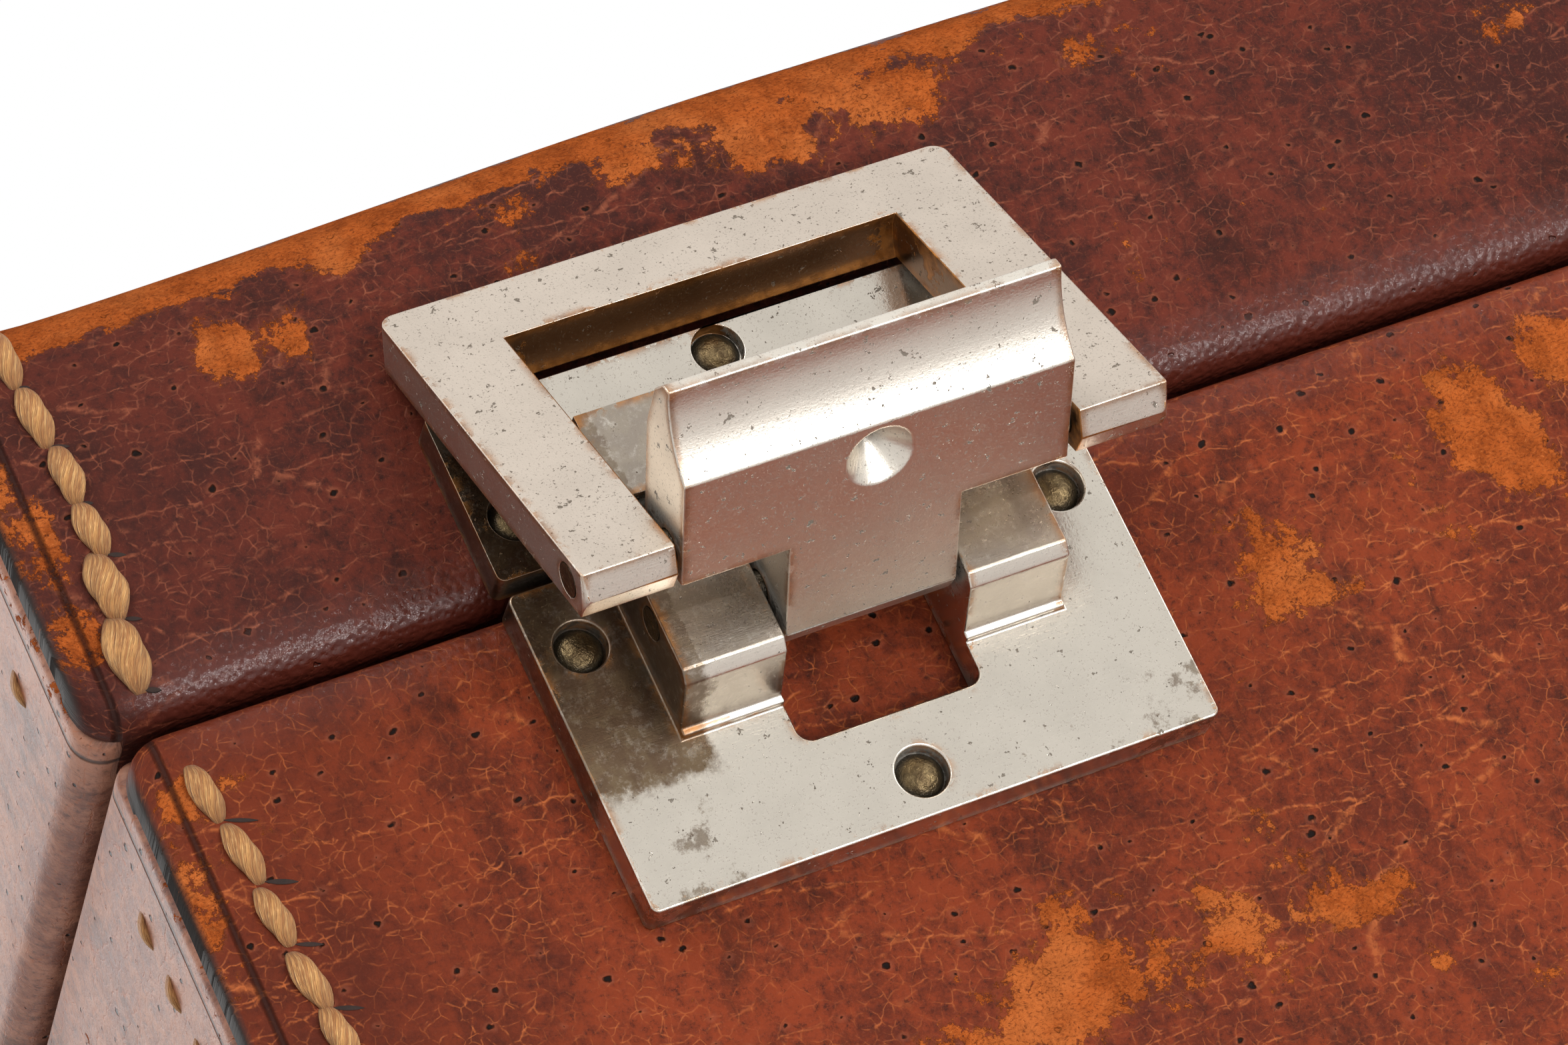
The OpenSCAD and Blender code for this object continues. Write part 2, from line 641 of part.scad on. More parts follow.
hinge_leaf(1, 1);  // hinge_lid_leaf_right
hinge_pin(-1);  // hinge_pin_left
hinge_pin(1);  // hinge_pin_right
hinge_body_nails();
hinge_lid_nails();
bracket(-1);  // handle_bracket_left
bracket(1);  // handle_bracket_right
handle_pin(-1);  // handle_pin_left
handle_pin(1);  // handle_pin_right
handle_core();
handle_grip();
bracket_nails();
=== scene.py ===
import math
import random

import bmesh
import bpy
import numpy as np
from mathutils import Matrix, Vector, noise


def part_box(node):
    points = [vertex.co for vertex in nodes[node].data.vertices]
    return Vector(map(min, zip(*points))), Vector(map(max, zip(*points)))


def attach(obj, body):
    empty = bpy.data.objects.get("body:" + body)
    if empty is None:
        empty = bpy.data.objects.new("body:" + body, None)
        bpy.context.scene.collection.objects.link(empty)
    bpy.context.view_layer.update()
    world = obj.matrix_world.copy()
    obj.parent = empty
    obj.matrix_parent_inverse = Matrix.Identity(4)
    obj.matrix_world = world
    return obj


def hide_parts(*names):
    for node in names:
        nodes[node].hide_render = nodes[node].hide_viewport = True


# The frame. Everything below is worked out in millimetres and turned into metres as meshes are made.
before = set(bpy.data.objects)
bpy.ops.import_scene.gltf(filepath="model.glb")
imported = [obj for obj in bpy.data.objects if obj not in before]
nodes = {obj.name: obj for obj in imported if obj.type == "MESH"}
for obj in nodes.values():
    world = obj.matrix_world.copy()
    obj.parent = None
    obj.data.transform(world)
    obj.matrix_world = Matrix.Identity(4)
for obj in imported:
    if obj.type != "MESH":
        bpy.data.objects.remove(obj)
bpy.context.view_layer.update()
MM = 0.001
HIDE_UNIT = 100  # hide coordinates are kept as parts of this many millimetres
SIDES = {"left": -1, "right": 1}


def corners(node):
    """Lowest and highest corner of a frame node, in millimetres."""
    low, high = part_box(node)
    return low / MM, high / MM


# Sizes read from the frame
body_high = corners("body_leather")[1]
lid_low, lid_high = corners("lid_leather")
board_low, board_high = corners("right_board")
lining_low, lining_high = corners("body_lining")
lip_low, lip_high = corners("body_lip")
pad_low, pad_high = corners("floor_pad")
plate_low, plate_high = corners("latch_plate_left")
half_w = body_high.x
half_d = body_high.y
body_h = body_high.z
lid_z = lid_low.z
case_top = lid_high.z
leather_t = half_w - board_high.x
board_x = board_high.x
inner_x = board_low.x
inner_y = board_high.y
board_y = half_d - leather_t
turn_t = body_h - board_high.z
latch_x = (plate_high.x + plate_low.x) / 2
latch_z = plate_low.z

# Sizes that the boxes of the frame don't give: folds and rims, how far the lid stands out past the
# body's ends, the gap beside an end hide, and the thickness of a latch plate
FOLD_R = 6.0
BODY_RIM_R = 1.4
LID_RIM_R = 2.2
RIM_CORNER_R = 3.0
LID_OVER = 1.3
END_SEAM = 0.6
PLATE_T = 2.9
plate_y = -half_d - PLATE_T

# Colours
RED_BROWN = (0.200, 0.035, 0.012)
RUST_BROWN = (0.092, 0.018, 0.009)
DEEP_BROWN = (0.046, 0.014, 0.011)
MAROON = (0.118, 0.024, 0.014)
GREY_BROWN = (0.190, 0.070, 0.044)
GREY_ROSE = (0.400, 0.180, 0.110)
CRACK_TAN = (0.380, 0.100, 0.030)
CRACK_RUST = (0.240, 0.070, 0.036)
SUEDE = (0.400, 0.090, 0.018)
SUEDE_DEEP = (0.270, 0.058, 0.012)
SUEDE_PALE = (0.520, 0.152, 0.040)
SUEDE_DARK = (0.130, 0.030, 0.010)
RUBBED_BROWN = (0.200, 0.060, 0.020)
SHALLOW_BROWN = (0.200, 0.050, 0.018)
SCUFF_BROWN = (0.200, 0.070, 0.030)
PORE_SHADE = (0.008, 0.004, 0.003)
SLIT_SHADE_BLACK = (0.006, 0.003, 0.002)
SLIT_SHADE_BROWN = (0.030, 0.012, 0.007)
OLD_WAX_AND_SHADE = (0.022, 0.009, 0.007)
RIM_RED = (0.075, 0.013, 0.007)
EDGE_BLACK = (0.030, 0.026, 0.024)
THREAD = (0.620, 0.300, 0.090)
THREAD_DARK = (0.360, 0.140, 0.035)
THREAD_PALE = (0.820, 0.500, 0.200)
THREAD_STAIN = (0.330, 0.130, 0.035)
THREAD_END_DARK = (0.200, 0.060, 0.015)
NICKEL = (0.615, 0.560, 0.480)
NICKEL_CLEAN = (0.780, 0.720, 0.630)
NICKEL_DULL = (0.600, 0.520, 0.440)
BRASS = (0.400, 0.165, 0.040)
BRASS_DARK = (0.220, 0.085, 0.020)
BRASS_AGED = (0.210, 0.150, 0.075)
BRASS_BROWN = (0.075, 0.050, 0.026)
PIT_BROWN = (0.100, 0.075, 0.050)
TARNISH = (0.200, 0.105, 0.052)
BRONZE = (0.085, 0.042, 0.016)
STAIN_AND_SHADE_GREEN = (0.118, 0.072, 0.032)
GRIME_AND_SHADE = (0.022, 0.017, 0.010)
VELVET = (0.180, 0.012, 0.020)
VELVET_RUBBED = (0.260, 0.045, 0.045)
WOOD = (0.500, 0.330, 0.180)


class Nodes:
    """A node tree that is built with short calls."""

    def __init__(self, tree):
        self.tree = tree

    def add(self, kind, **settings):
        """A new node with these settings."""
        node = self.tree.nodes.new(kind)
        for name, value in settings.items():
            setattr(node, name, value)
        return node

    def put(self, socket, value):
        """Links a socket to another, or sets its value."""
        if isinstance(value, bpy.types.NodeSocket):
            self.tree.links.new(value, socket)
        elif isinstance(value, tuple) and len(value) == 3 and socket.type == "RGBA":
            socket.default_value = (*value, 1)
        else:
            socket.default_value = value

    def place(self):
        """Position on the piece at rest, in millimetres."""
        coords = self.add("ShaderNodeTexCoord").outputs["Object"]
        return self.scaled(coords, 1 / MM)

    def hide(self):
        """Position on the flat hide, in millimetres."""
        coords = self.add("ShaderNodeUVMap", uv_map="hide").outputs["UV"]
        return self.scaled(coords, HIDE_UNIT)

    def scaled(self, vector, factor):
        """A vector times a number, or times a number for each direction."""
        node = self.add("ShaderNodeVectorMath", operation="MULTIPLY")
        self.put(node.inputs[0], vector)
        factors = factor if isinstance(factor, tuple) else (factor, factor, factor)
        self.put(node.inputs[1], factors)
        return node.outputs[0]

    def moved(self, vector, offset, amount):
        """A vector pushed about by a texture's colour."""
        shift = self.add("ShaderNodeVectorMath", operation="SUBTRACT")
        self.put(shift.inputs[0], offset)
        self.put(shift.inputs[1], (0.5, 0.5, 0.5))
        scale = self.scaled(shift.outputs[0], amount)
        total = self.add("ShaderNodeVectorMath", operation="ADD")
        self.put(total.inputs[0], vector)
        self.put(total.inputs[1], scale)
        return total.outputs[0]

    def noise(self, vector, size, detail=2.0, rough=0.5, flat=False, colour=False):
        """Soft noise whose blotches are about size millimetres across."""
        node = self.add("ShaderNodeTexNoise", noise_dimensions="2D" if flat else "3D")
        self.put(node.inputs["Vector"], vector)
        self.put(node.inputs["Scale"], 1 / size)
        self.put(node.inputs["Detail"], detail)
        self.put(node.inputs["Roughness"], rough)
        return node.outputs["Color" if colour else "Fac"]

    def cells(self, vector, size, feature="F1", spread=1.0):
        """Distances in a flat pattern of cells about size millimetres across."""
        node = self.add("ShaderNodeTexVoronoi", feature=feature, voronoi_dimensions="2D")
        self.put(node.inputs["Vector"], vector)
        self.put(node.inputs["Scale"], 1 / size)
        self.put(node.inputs["Randomness"], spread)
        return node.outputs["Distance"]

    def fit(self, value, low, high, out_low=0.0, out_high=1.0):
        """Smoothly turns low..high into out_low..out_high."""
        node = self.add("ShaderNodeMapRange", interpolation_type="SMOOTHSTEP")
        self.put(node.inputs["Value"], value)
        self.put(node.inputs["From Min"], low)
        self.put(node.inputs["From Max"], high)
        self.put(node.inputs["To Min"], out_low)
        self.put(node.inputs["To Max"], out_high)
        return node.outputs["Result"]

    def times(self, a, b):
        """The product of two values."""
        return self.calc("MULTIPLY", a, b)

    def calc(self, operation, a, b=0.0, clamp=False):
        """One step of arithmetic on two values."""
        node = self.add("ShaderNodeMath", operation=operation, use_clamp=clamp)
        self.put(node.inputs[0], a)
        self.put(node.inputs[1], b)
        return node.outputs[0]

    def total(self, *terms):
        """Sum of (value, factor) pairs."""
        result = None
        for value, factor in terms:
            term = self.times(value, factor)
            result = term if result is None else self.calc("ADD", result, term)
        return result

    def mix(self, amount, a, b):
        """Colour a turned into colour b by amount."""
        node = self.add("ShaderNodeMix", data_type="RGBA")
        self.put(node.inputs["Factor"], amount)
        self.put(node.inputs["A"], a)
        self.put(node.inputs["B"], b)
        return node.outputs["Result"]

    def attribute(self, name):
        """A value that the mesh gives for each of its points."""
        return self.add("ShaderNodeAttribute", attribute_name=name).outputs["Fac"]

    def bump(self, height):
        """The normal of a surface raised by height millimetres."""
        node = self.add("ShaderNodeBump")
        node.inputs["Strength"].default_value = 1.0
        node.inputs["Distance"].default_value = MM
        self.put(node.inputs["Height"], height)
        return node.outputs["Normal"]


class Shader(Nodes):
    """A new material with its node tree."""

    def __init__(self, name):
        self.material = bpy.data.materials.new(name)
        self.material.use_nodes = True
        super().__init__(self.material.node_tree)

    def finish(self, **inputs):
        """Sets the surface's inputs and returns the material."""
        surface = self.tree.nodes["Principled BSDF"]
        for name, value in inputs.items():
            self.put(surface.inputs[name.replace("_", " ")], value)
        return self.material


# In each material s is its shader and p the place on the piece or on the flat hide, in millimetres


def crackle(s, p, bent, amount):
    """Long fine cracks along the hide and a finer net between them."""
    net = s.cells(bent, 1.15, "DISTANCE_TO_EDGE")
    wide = s.cells(bent, 3.1, "DISTANCE_TO_EDGE")
    long = s.cells(s.scaled(bent, (0.17, 1, 1)), 2.5, "DISTANCE_TO_EDGE")
    here = s.fit(s.noise(s.scaled(p, (0.6, 1, 1)), 14, 4, 0.6, flat=True), 0.36, 0.58)
    there = s.fit(s.noise(p, 5, 4, 0.65, flat=True), 0.40, 0.62)
    broken = s.fit(s.noise(p, 1.0, 3, 0.7, flat=True), 0.36, 0.66)
    lines = s.total(
        (s.times(s.fit(wide, 0.0, 0.028, 1, 0), there), 0.55),
        (s.times(s.fit(long, 0.0, 0.044, 1, 0), here), 1.10),
        (s.times(s.fit(net, 0.0, 0.080, 1, 0), there), 0.60),
        (s.fit(net, 0.0, 0.070, 1, 0), 0.34),
    )
    return s.calc("MULTIPLY", s.times(lines, broken), amount, clamp=True)


def hair_pores(s, p):
    """Pores in the hide and the paler rings round them."""
    jitter = s.moved(p, s.noise(p, 0.5, 1, flat=True, colour=True), (0.35, 0.35, 0))
    pore = s.cells(s.scaled(jitter, (1, 1.3, 1)), 4.2, spread=0.95)
    pore = s.calc("ADD", pore, s.fit(s.noise(p, 3, 2, flat=True), 0.35, 0.65, -0.015, 0.045))
    return s.fit(pore, 0.025, 0.065, 1, 0), s.fit(pore, 0.05, 0.15, 0.35, 0)


def rubbed_patches(s, p, big, wear, patch_amount):
    """Patches rubbed through to the suede with flecks between them, and their shallow borders."""
    ragged = s.total(
        (s.noise(p, 7, 10, 0.76, flat=True), 0.62),
        (s.noise(s.scaled(p, (0.8, 1.2, 1)), 40, 3, 0.5, flat=True), 0.38),
        (wear, 0.34),
    )
    fleck = s.total((s.noise(p, 1.9, 7, 0.72, flat=True), 0.80), (big, 0.22), (wear, 0.22))
    edge = 0.612 - patch_amount
    fleck_edge = 0.665 - 0.6 * patch_amount
    patch = s.calc("MAXIMUM", s.fit(ragged, edge - 0.012, edge),
                   s.fit(fleck, fleck_edge, fleck_edge + 0.018))
    shallow = s.calc("MAXIMUM", s.fit(ragged, edge - 0.042, edge),
                     s.fit(fleck, fleck_edge - 0.035, fleck_edge + 0.018))
    return patch, shallow


def suede_shade(s, small, mid, fibre, lines):
    """The fibrous suede under the rubbed grain."""
    suede = s.mix(s.fit(small, 0.38, 0.62), SUEDE_DEEP, SUEDE)
    suede = s.mix(s.fit(mid, 0.46, 0.70, 0, 0.5), suede, SUEDE_PALE)
    suede = s.mix(s.fit(fibre, 0.52, 0.85, 0, 0.8), suede, SUEDE_PALE)
    suede = s.mix(s.fit(fibre, 0.50, 0.30, 0, 0.8), suede, SUEDE_DARK)
    return s.mix(s.times(lines, 0.35), suede, RUBBED_BROWN)


def leather(name, dark, light, crack_shade, crack_amount, patch_amount, gloss, edge_shade=0.0):
    """Old waxed hide: crackled, pored, rubbed through to suede at its edges.

    Meshes give it four attributes: wear, which rubs it through, polish, where it is glossy and
    pebbled or, below zero, dull, raw, where it is a cut edge, and inset, the distance to the cut
    edge in millimetres.
    """
    s = Shader(name)
    p = s.hide()
    wear, polish, raw, inset = [s.attribute(a) for a in ("wear", "polish", "raw", "inset")]
    bent = s.moved(p, s.noise(p, 1.7, 2, flat=True, colour=True), (0.9, 0.9, 0))
    big = s.noise(p, 38, 4, 0.6, flat=True)
    mid = s.noise(p, 9, 5, 0.65, flat=True)
    small = s.noise(p, 2.2, 5, 0.7, flat=True)
    fine = s.noise(p, 0.7, 4, 0.75, flat=True)
    dust = s.noise(p, 0.20, 2, 0.8, flat=True)
    fibre = s.noise(s.scaled(bent, (1, 1.5, 1)), 0.28, 3, 0.75, flat=True)
    pebble = s.cells(p, 0.55, "SMOOTH_F1")
    lines = crackle(s, p, bent, crack_amount)
    pores, halo = hair_pores(s, p)
    patch, shallow = rubbed_patches(s, p, big, wear, patch_amount)

    # The grain side, darker towards the cut edges by edge_shade
    tone = s.fit(s.total((big, 0.40), (mid, 0.35), (small, 0.40), (fine, 0.35)), 0.63, 0.88)
    colour = s.mix(tone, dark, light)
    stain = s.fit(s.noise(s.scaled(p, (1.3, 0.8, 1)), 14, 8, 0.78, flat=True), 0.50, 0.68)
    colour = s.mix(s.times(stain, 0.62), colour, OLD_WAX_AND_SHADE)
    colour = s.mix(s.fit(fine, 0.42, 0.28, 0.0, 0.5), colour, OLD_WAX_AND_SHADE)
    colour = s.mix(s.fit(dust, 0.56, 0.80, 0.0, 0.30), colour, CRACK_RUST)
    from_edge = s.total((inset, 1), (mid, 14), (big, 10))
    colour = s.mix(s.fit(from_edge, 18, 42, edge_shade, 0), colour, dark)
    colour = s.mix(lines, colour, crack_shade)
    colour = s.mix(halo, colour, CRACK_RUST)
    # pores painted near black: painted shade in the holes
    colour = s.mix(pores, colour, PORE_SHADE)
    colour = s.mix(s.times(shallow, 0.40), colour, SHALLOW_BROWN)
    colour = s.mix(patch, colour, suede_shade(s, small, mid, fibre, lines))

    # The crease beside a cut edge, darkened along its line with painted shade
    groove = s.fit(s.calc("ABSOLUTE", s.calc("SUBTRACT", inset, 2.1)), 0.05, 0.38, 1, 0)
    colour = s.mix(s.times(groove, 0.85), colour, OLD_WAX_AND_SHADE)

    # Glossy rims and burnished cut edges
    glossy = s.calc("MAXIMUM", polish, 0.0)
    clear = s.fit(patch, 0, 1, 0.80, 0.2)
    colour = s.mix(s.times(glossy, clear), colour, RIM_RED)
    scuff = s.fit(s.noise(p, 1.1, 4, 0.8, flat=True), 0.62, 0.75)
    colour = s.mix(raw, colour, s.mix(scuff, EDGE_BLACK, SCUFF_BROWN))

    height = s.total(
        (lines, -0.040),
        (pores, -0.22),
        (halo, 0.05),
        (patch, -0.10),
        (s.times(fibre, patch), 0.12),
        (fine, 0.05),
        (dust, 0.010),
        (mid, 0.16),
        (groove, -0.28),
        (s.times(pebble, glossy), 0.14),
    )
    waxed = s.total((mid, 0.24), (small, 0.14), (pebble, 0.10), (pores, -0.10), (patch, -0.05))
    rough = s.total((mid, 0.16), (fine, 0.20), (patch, 0.40), (polish, -0.06), (raw, 0.16))
    rough = s.calc("ADD", rough, 0.28)
    shine = s.total((patch, -0.9 * gloss), (polish, 0.10), (raw, 0.05))
    shine = s.calc("ADD", shine, gloss, clamp=True)
    return s.finish(
        Base_Color=colour,
        Roughness=rough,
        Specular_IOR_Level=shine,
        Coat_Weight=s.times(glossy, 0.50),
        Coat_Roughness=0.04,
        Coat_Normal=s.bump(waxed),
        Normal=s.bump(height),
    )


def film_and_painted_shade(s, p, spots, outward):
    """Brown film on ledges and low on the plate, and painted shade and dark reflection beside the lugs."""
    height_up = s.calc("SUBTRACT", spots.outputs["Z"], latch_z)
    cloudy = s.noise(p, 2.8, 6, 0.74)
    ragged_out = s.total((outward, 1), (cloudy, 3.0))
    ragged_up = s.total((height_up, 1), (cloudy, 4.0))
    # beside the lugs: painted shade and dark reflection on the plate
    beside = s.times(s.fit(ragged_out, 13.0, 13.8), s.fit(ragged_up, 9.2, 10.4))
    beside = s.times(beside, s.fit(height_up, 46, 38))
    facing_to = s.add("ShaderNodeSeparateXYZ")
    s.put(facing_to.inputs[0], s.add("ShaderNodeNewGeometry").outputs["True Normal"])
    standing_out = s.fit(spots.outputs["Y"], plate_y - 1.2, plate_y - 2.0)
    lug_face = s.times(s.fit(facing_to.outputs["Y"], -0.80, -0.95), standing_out)
    upward = s.fit(facing_to.outputs["Z"], 0.30, 0.60)
    ledge = s.calc("MAXIMUM", upward, s.times(lug_face, 0.85))
    ledge = s.times(ledge, s.fit(cloudy, 0.16, 0.36))
    low_band = s.times(s.fit(height_up, 8, 1), s.fit(s.calc("ABSOLUTE", outward), 9, 15))
    blot = s.fit(s.total((low_band, 0.16), (s.noise(p, 4.2, 7, 0.76), 1.0)), 0.64, 0.72)
    film_and_shade = s.calc("MAXIMUM", s.times(blot, 0.75), s.times(ledge, 0.95))
    return s.calc("MAXIMUM", beside, film_and_shade)


def rubbed_edges(s, p, outward, worn):
    """Where the plating is rubbed off: along edges and at the ends of lever and bail."""
    bevel = s.add("ShaderNodeBevel", samples=6)
    s.put(bevel.inputs["Radius"], 1.6 * MM)
    facing = s.add("ShaderNodeVectorMath", operation="DOT_PRODUCT")
    s.put(facing.inputs[0], bevel.outputs["Normal"])
    s.put(facing.inputs[1], s.add("ShaderNodeNewGeometry").outputs["Normal"])
    edge = s.fit(facing.outputs["Value"], 0.82, 0.985, 1, 0)
    ends = s.fit(s.calc("ABSOLUTE", outward), 11.4, 13.0)
    rubbed = s.total((edge, 0.42), (s.noise(p, 3.4, 7, 0.74), 1.2), (ends, 0.035 * worn))
    return s.fit(rubbed, 1.10 - 0.06 * worn, 1.13 - 0.06 * worn)


def shaded_corners(s, samples, distance, low=0.2):
    """Grime and painted shade: corners that other faces shade within distance millimetres, found by
    ambient occlusion.
    """
    shade = s.add("ShaderNodeAmbientOcclusion", samples=samples, only_local=False)
    s.put(shade.inputs["Distance"], distance * MM)
    return s.fit(shade.outputs["AO"], low, 0.80, 1, 0)


def nickel(name, base, rough, speckle, brushed, worn, film_and_shade_amount=0.0):
    """Worn nickel plate on brass: pitted, filmed, given grime and painted shade in its corners and rubbed
    to brass at its edges.
    """
    s = Shader(name)
    p = s.place()
    cloud = s.noise(p, 5, 4, 0.6)
    grain = s.noise(p, 0.16, 2, 0.7)
    pit_field = s.noise(p, 0.75, 3, 0.75)
    colour = s.mix(s.fit(cloud, 0.35, 0.7, 0, 0.5), base, tuple(0.8 * c for c in base))
    pits = s.fit(pit_field, 0.705 - 0.06 * speckle, 0.735 - 0.06 * speckle)
    specks = s.times(s.fit(grain, 0.58, 0.72), 0.60 * speckle)
    dirt = s.calc("MAXIMUM", s.times(pits, 0.85), specks)
    colour = s.mix(dirt, colour, PIT_BROWN)

    spots = s.add("ShaderNodeSeparateXYZ")
    s.put(spots.inputs[0], p)
    outward = s.calc("SUBTRACT", s.calc("ABSOLUTE", spots.outputs["X"]), abs(latch_x))
    # brown film, and painted shade and dark reflection beside the lugs
    film_and_shade = s.times(film_and_painted_shade(s, p, spots, outward), film_and_shade_amount)
    film_and_shade = s.times(film_and_shade, s.fit(s.noise(p, 0.7, 4, 0.8), 0.30, 0.52, 0.75, 1.0))
    film_shade = s.mix(s.fit(s.noise(p, 1.3, 3), 0.4, 0.6), BRONZE, STAIN_AND_SHADE_GREEN)
    colour = s.mix(s.times(film_and_shade, 0.92), colour, film_shade)
    grime_and_shade = shaded_corners(s, 8, 2.2, 0.28)
    grime_and_shade = s.times(grime_and_shade, s.fit(s.noise(p, 1.3, 5, 0.74), 0.34, 0.56))
    # grime and painted shade in the corners that ambient occlusion finds
    colour = s.mix(s.times(grime_and_shade, 0.92), colour, GRIME_AND_SHADE)
    rubbed = rubbed_edges(s, p, outward, worn)
    colour = s.mix(rubbed, colour, s.mix(s.fit(s.noise(p, 0.8, 3), 0.35, 0.65), BRASS, BRASS_DARK))

    scratch_a = s.noise(s.scaled(p, (0.05, 1, 1)), 0.10, 2, 0.6)
    scratch_b = s.noise(s.scaled(p, (1.3, 1.3, 0.09)), 0.35, 2, 0.6)
    height = s.total(
        (scratch_a, 0.006 * brushed),
        (scratch_b, 0.004),
        (grain, 0.012 * speckle),
        (pits, -0.05),
        (rubbed, -0.015),
        (cloud, 0.05),
    )
    roughness = s.total(
        (cloud, 0.14),
        (grain, 0.10),
        (pits, 0.3),
        (rubbed, 0.12),
        (film_and_shade, 0.10),
        (grime_and_shade, 0.3),
    )
    roughness = s.calc("ADD", roughness, rough - 0.12, clamp=True)
    not_metal = s.calc("MAXIMUM", s.times(grime_and_shade, 0.85), s.times(dirt, 0.8))
    metallic = s.calc("SUBTRACT", 1.0, not_metal, clamp=True)
    return s.finish(Base_Color=colour, Metallic=metallic, Roughness=roughness, Normal=s.bump(height))


def aged_brass(name):
    """Dull brass with grime and painted shade in the corners round it, for nails and pins."""
    s = Shader(name)
    p = s.place()
    cloud = s.noise(p, 1.2, 5, 0.7)
    colour = s.mix(s.fit(cloud, 0.35, 0.65), BRASS_AGED, BRASS_BROWN)
    grime_and_shade = shaded_corners(s, 6, 1.2)
    # grime and painted shade in the corners that ambient occlusion finds
    colour = s.mix(grime_and_shade, colour, GRIME_AND_SHADE)
    height = s.total((cloud, 0.12), (s.noise(p, 0.3, 3, 0.7), 0.05))
    rough = s.calc("ADD", s.times(cloud, 0.3), 0.14)
    metallic = s.calc("SUBTRACT", 1.0, s.times(grime_and_shade, 0.8))
    return s.finish(Base_Color=colour, Metallic=metallic, Roughness=rough, Normal=s.bump(height))


def linen(name):
    """Waxed linen thread: the hide coordinates run along the thread in x and round it in y."""
    s = Shader(name)
    p = s.hide()
    strand = s.noise(s.scaled(p, (0.35, 4.0, 1)), 0.9, 3, 0.65, flat=True)
    hair = s.noise(s.scaled(p, (0.25, 6.0, 1)), 0.5, 2, 0.8, flat=True)
    stain = s.noise(s.place(), 2.6, 4, 0.7)
    # darker towards the thread's ends, where it dives into the leather
    dirt = s.attribute("wear")
    colour = s.mix(s.fit(strand, 0.38, 0.62), THREAD_DARK, THREAD)
    colour = s.mix(s.fit(hair, 0.45, 0.75, 0, 0.7), colour, THREAD_PALE)
    colour = s.mix(s.fit(stain, 0.50, 0.75, 0, 0.5), colour, THREAD_STAIN)
    colour = s.mix(s.times(dirt, 0.75), colour, THREAD_END_DARK)
    height = s.total((strand, 0.30), (hair, 0.16))
    return s.finish(Base_Color=colour, Roughness=0.62, Sheen_Weight=0.08, Normal=s.bump(height))


def slit_shade_finish(name):
    """Painted shade for the cut that the awl leaves beside a stitch: near black with a little brown."""
    s = Shader(name)
    grime = s.noise(s.place(), 0.6, 3, 0.6)
    colour = s.mix(grime, SLIT_SHADE_BLACK, SLIT_SHADE_BROWN)
    return s.finish(Base_Color=colour, Roughness=0.9, Normal=s.bump(s.total((grime, 0.1))))


def velvet(name):
    """Crimson velvet, rubbed here and there."""
    s = Shader(name)
    p = s.place()
    pile = s.noise(p, 0.35, 3, 0.8)
    rubbed = s.noise(p, 22, 5, 0.6)
    colour = s.mix(s.fit(pile, 0.3, 0.7), VELVET, tuple(0.55 * c for c in VELVET))
    colour = s.mix(s.fit(rubbed, 0.48, 0.72, 0, 0.55), colour, VELVET_RUBBED)
    height = s.total((pile, 0.12), (rubbed, 0.3))
    return s.finish(
        Base_Color=colour, Roughness=0.92, Sheen_Weight=0.35, Sheen_Roughness=0.4, Normal=s.bump(height)
    )


def bare_wood(name):
    """Plain wood for the boards under the leather."""
    s = Shader(name)
    p = s.place()
    rings = s.noise(s.scaled(p, (0.06, 1, 1)), 2.2, 4, 0.6)
    colour = s.mix(s.fit(rings, 0.35, 0.65), WOOD, tuple(0.6 * c for c in WOOD))
    return s.finish(Base_Color=colour, Roughness=0.7, Normal=s.bump(s.total((rings, 0.1))))


LID_HIDE = leather("lid_hide", DEEP_BROWN, MAROON, CRACK_RUST,
                   crack_amount=0.70, patch_amount=-0.045, gloss=0.06, edge_shade=0.45)
BODY_HIDE = leather("body_hide", RUST_BROWN, RED_BROWN, CRACK_TAN,
                    crack_amount=0.80, patch_amount=-0.040, gloss=0.06, edge_shade=0.60)
END_HIDE = leather("end_hide", GREY_BROWN, GREY_ROSE, CRACK_TAN,
                   crack_amount=0.50, patch_amount=-0.020, gloss=0.60)
GRIP_HIDE = leather("grip_hide", DEEP_BROWN, RUST_BROWN, CRACK_RUST,
                    crack_amount=0.50, patch_amount=-0.020, gloss=0.25)
PLATE = nickel("plate_nickel", NICKEL, rough=0.20, speckle=0.65, brushed=1.0, worn=0.5, film_and_shade_amount=1.0)
BRIGHT = nickel("bright_nickel", NICKEL_CLEAN, rough=0.22, speckle=0.60, brushed=1.0, worn=1.4, film_and_shade_amount=0.9)
LEVER = nickel("lever_nickel", NICKEL_CLEAN, rough=0.33, speckle=1.05, brushed=0.8, worn=2.2)
SATIN = nickel("satin_nickel", NICKEL_DULL, rough=0.46, speckle=1.15, brushed=0.2, worn=0.8)
TARNISHED = nickel("tarnished_nickel", TARNISH, rough=0.34, speckle=1.00, brushed=0.5, worn=5.0)
NAIL_BRASS = aged_brass("nail_brass")
LINEN = linen("linen_thread")
SLIT_SHADE = slit_shade_finish("awl_slit_shade")
LINING = velvet("velvet_lining")
BOARD = bare_wood("bare_board")


def make_piece(name, bm, body, materials, replaced=()):
    """Turns a bmesh in millimetres into a piece that rides on a body."""
    mesh = bpy.data.meshes.new(name)
    bmesh.ops.scale(bm, vec=(MM, MM, MM), verts=bm.verts)
    bm.to_mesh(mesh)
    bm.free()
    for material in materials:
        mesh.materials.append(material)
    piece = bpy.data.objects.new(name, mesh)
    bpy.context.scene.collection.objects.link(piece)
    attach(piece, body)
    if replaced:
        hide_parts(*replaced)
    return piece


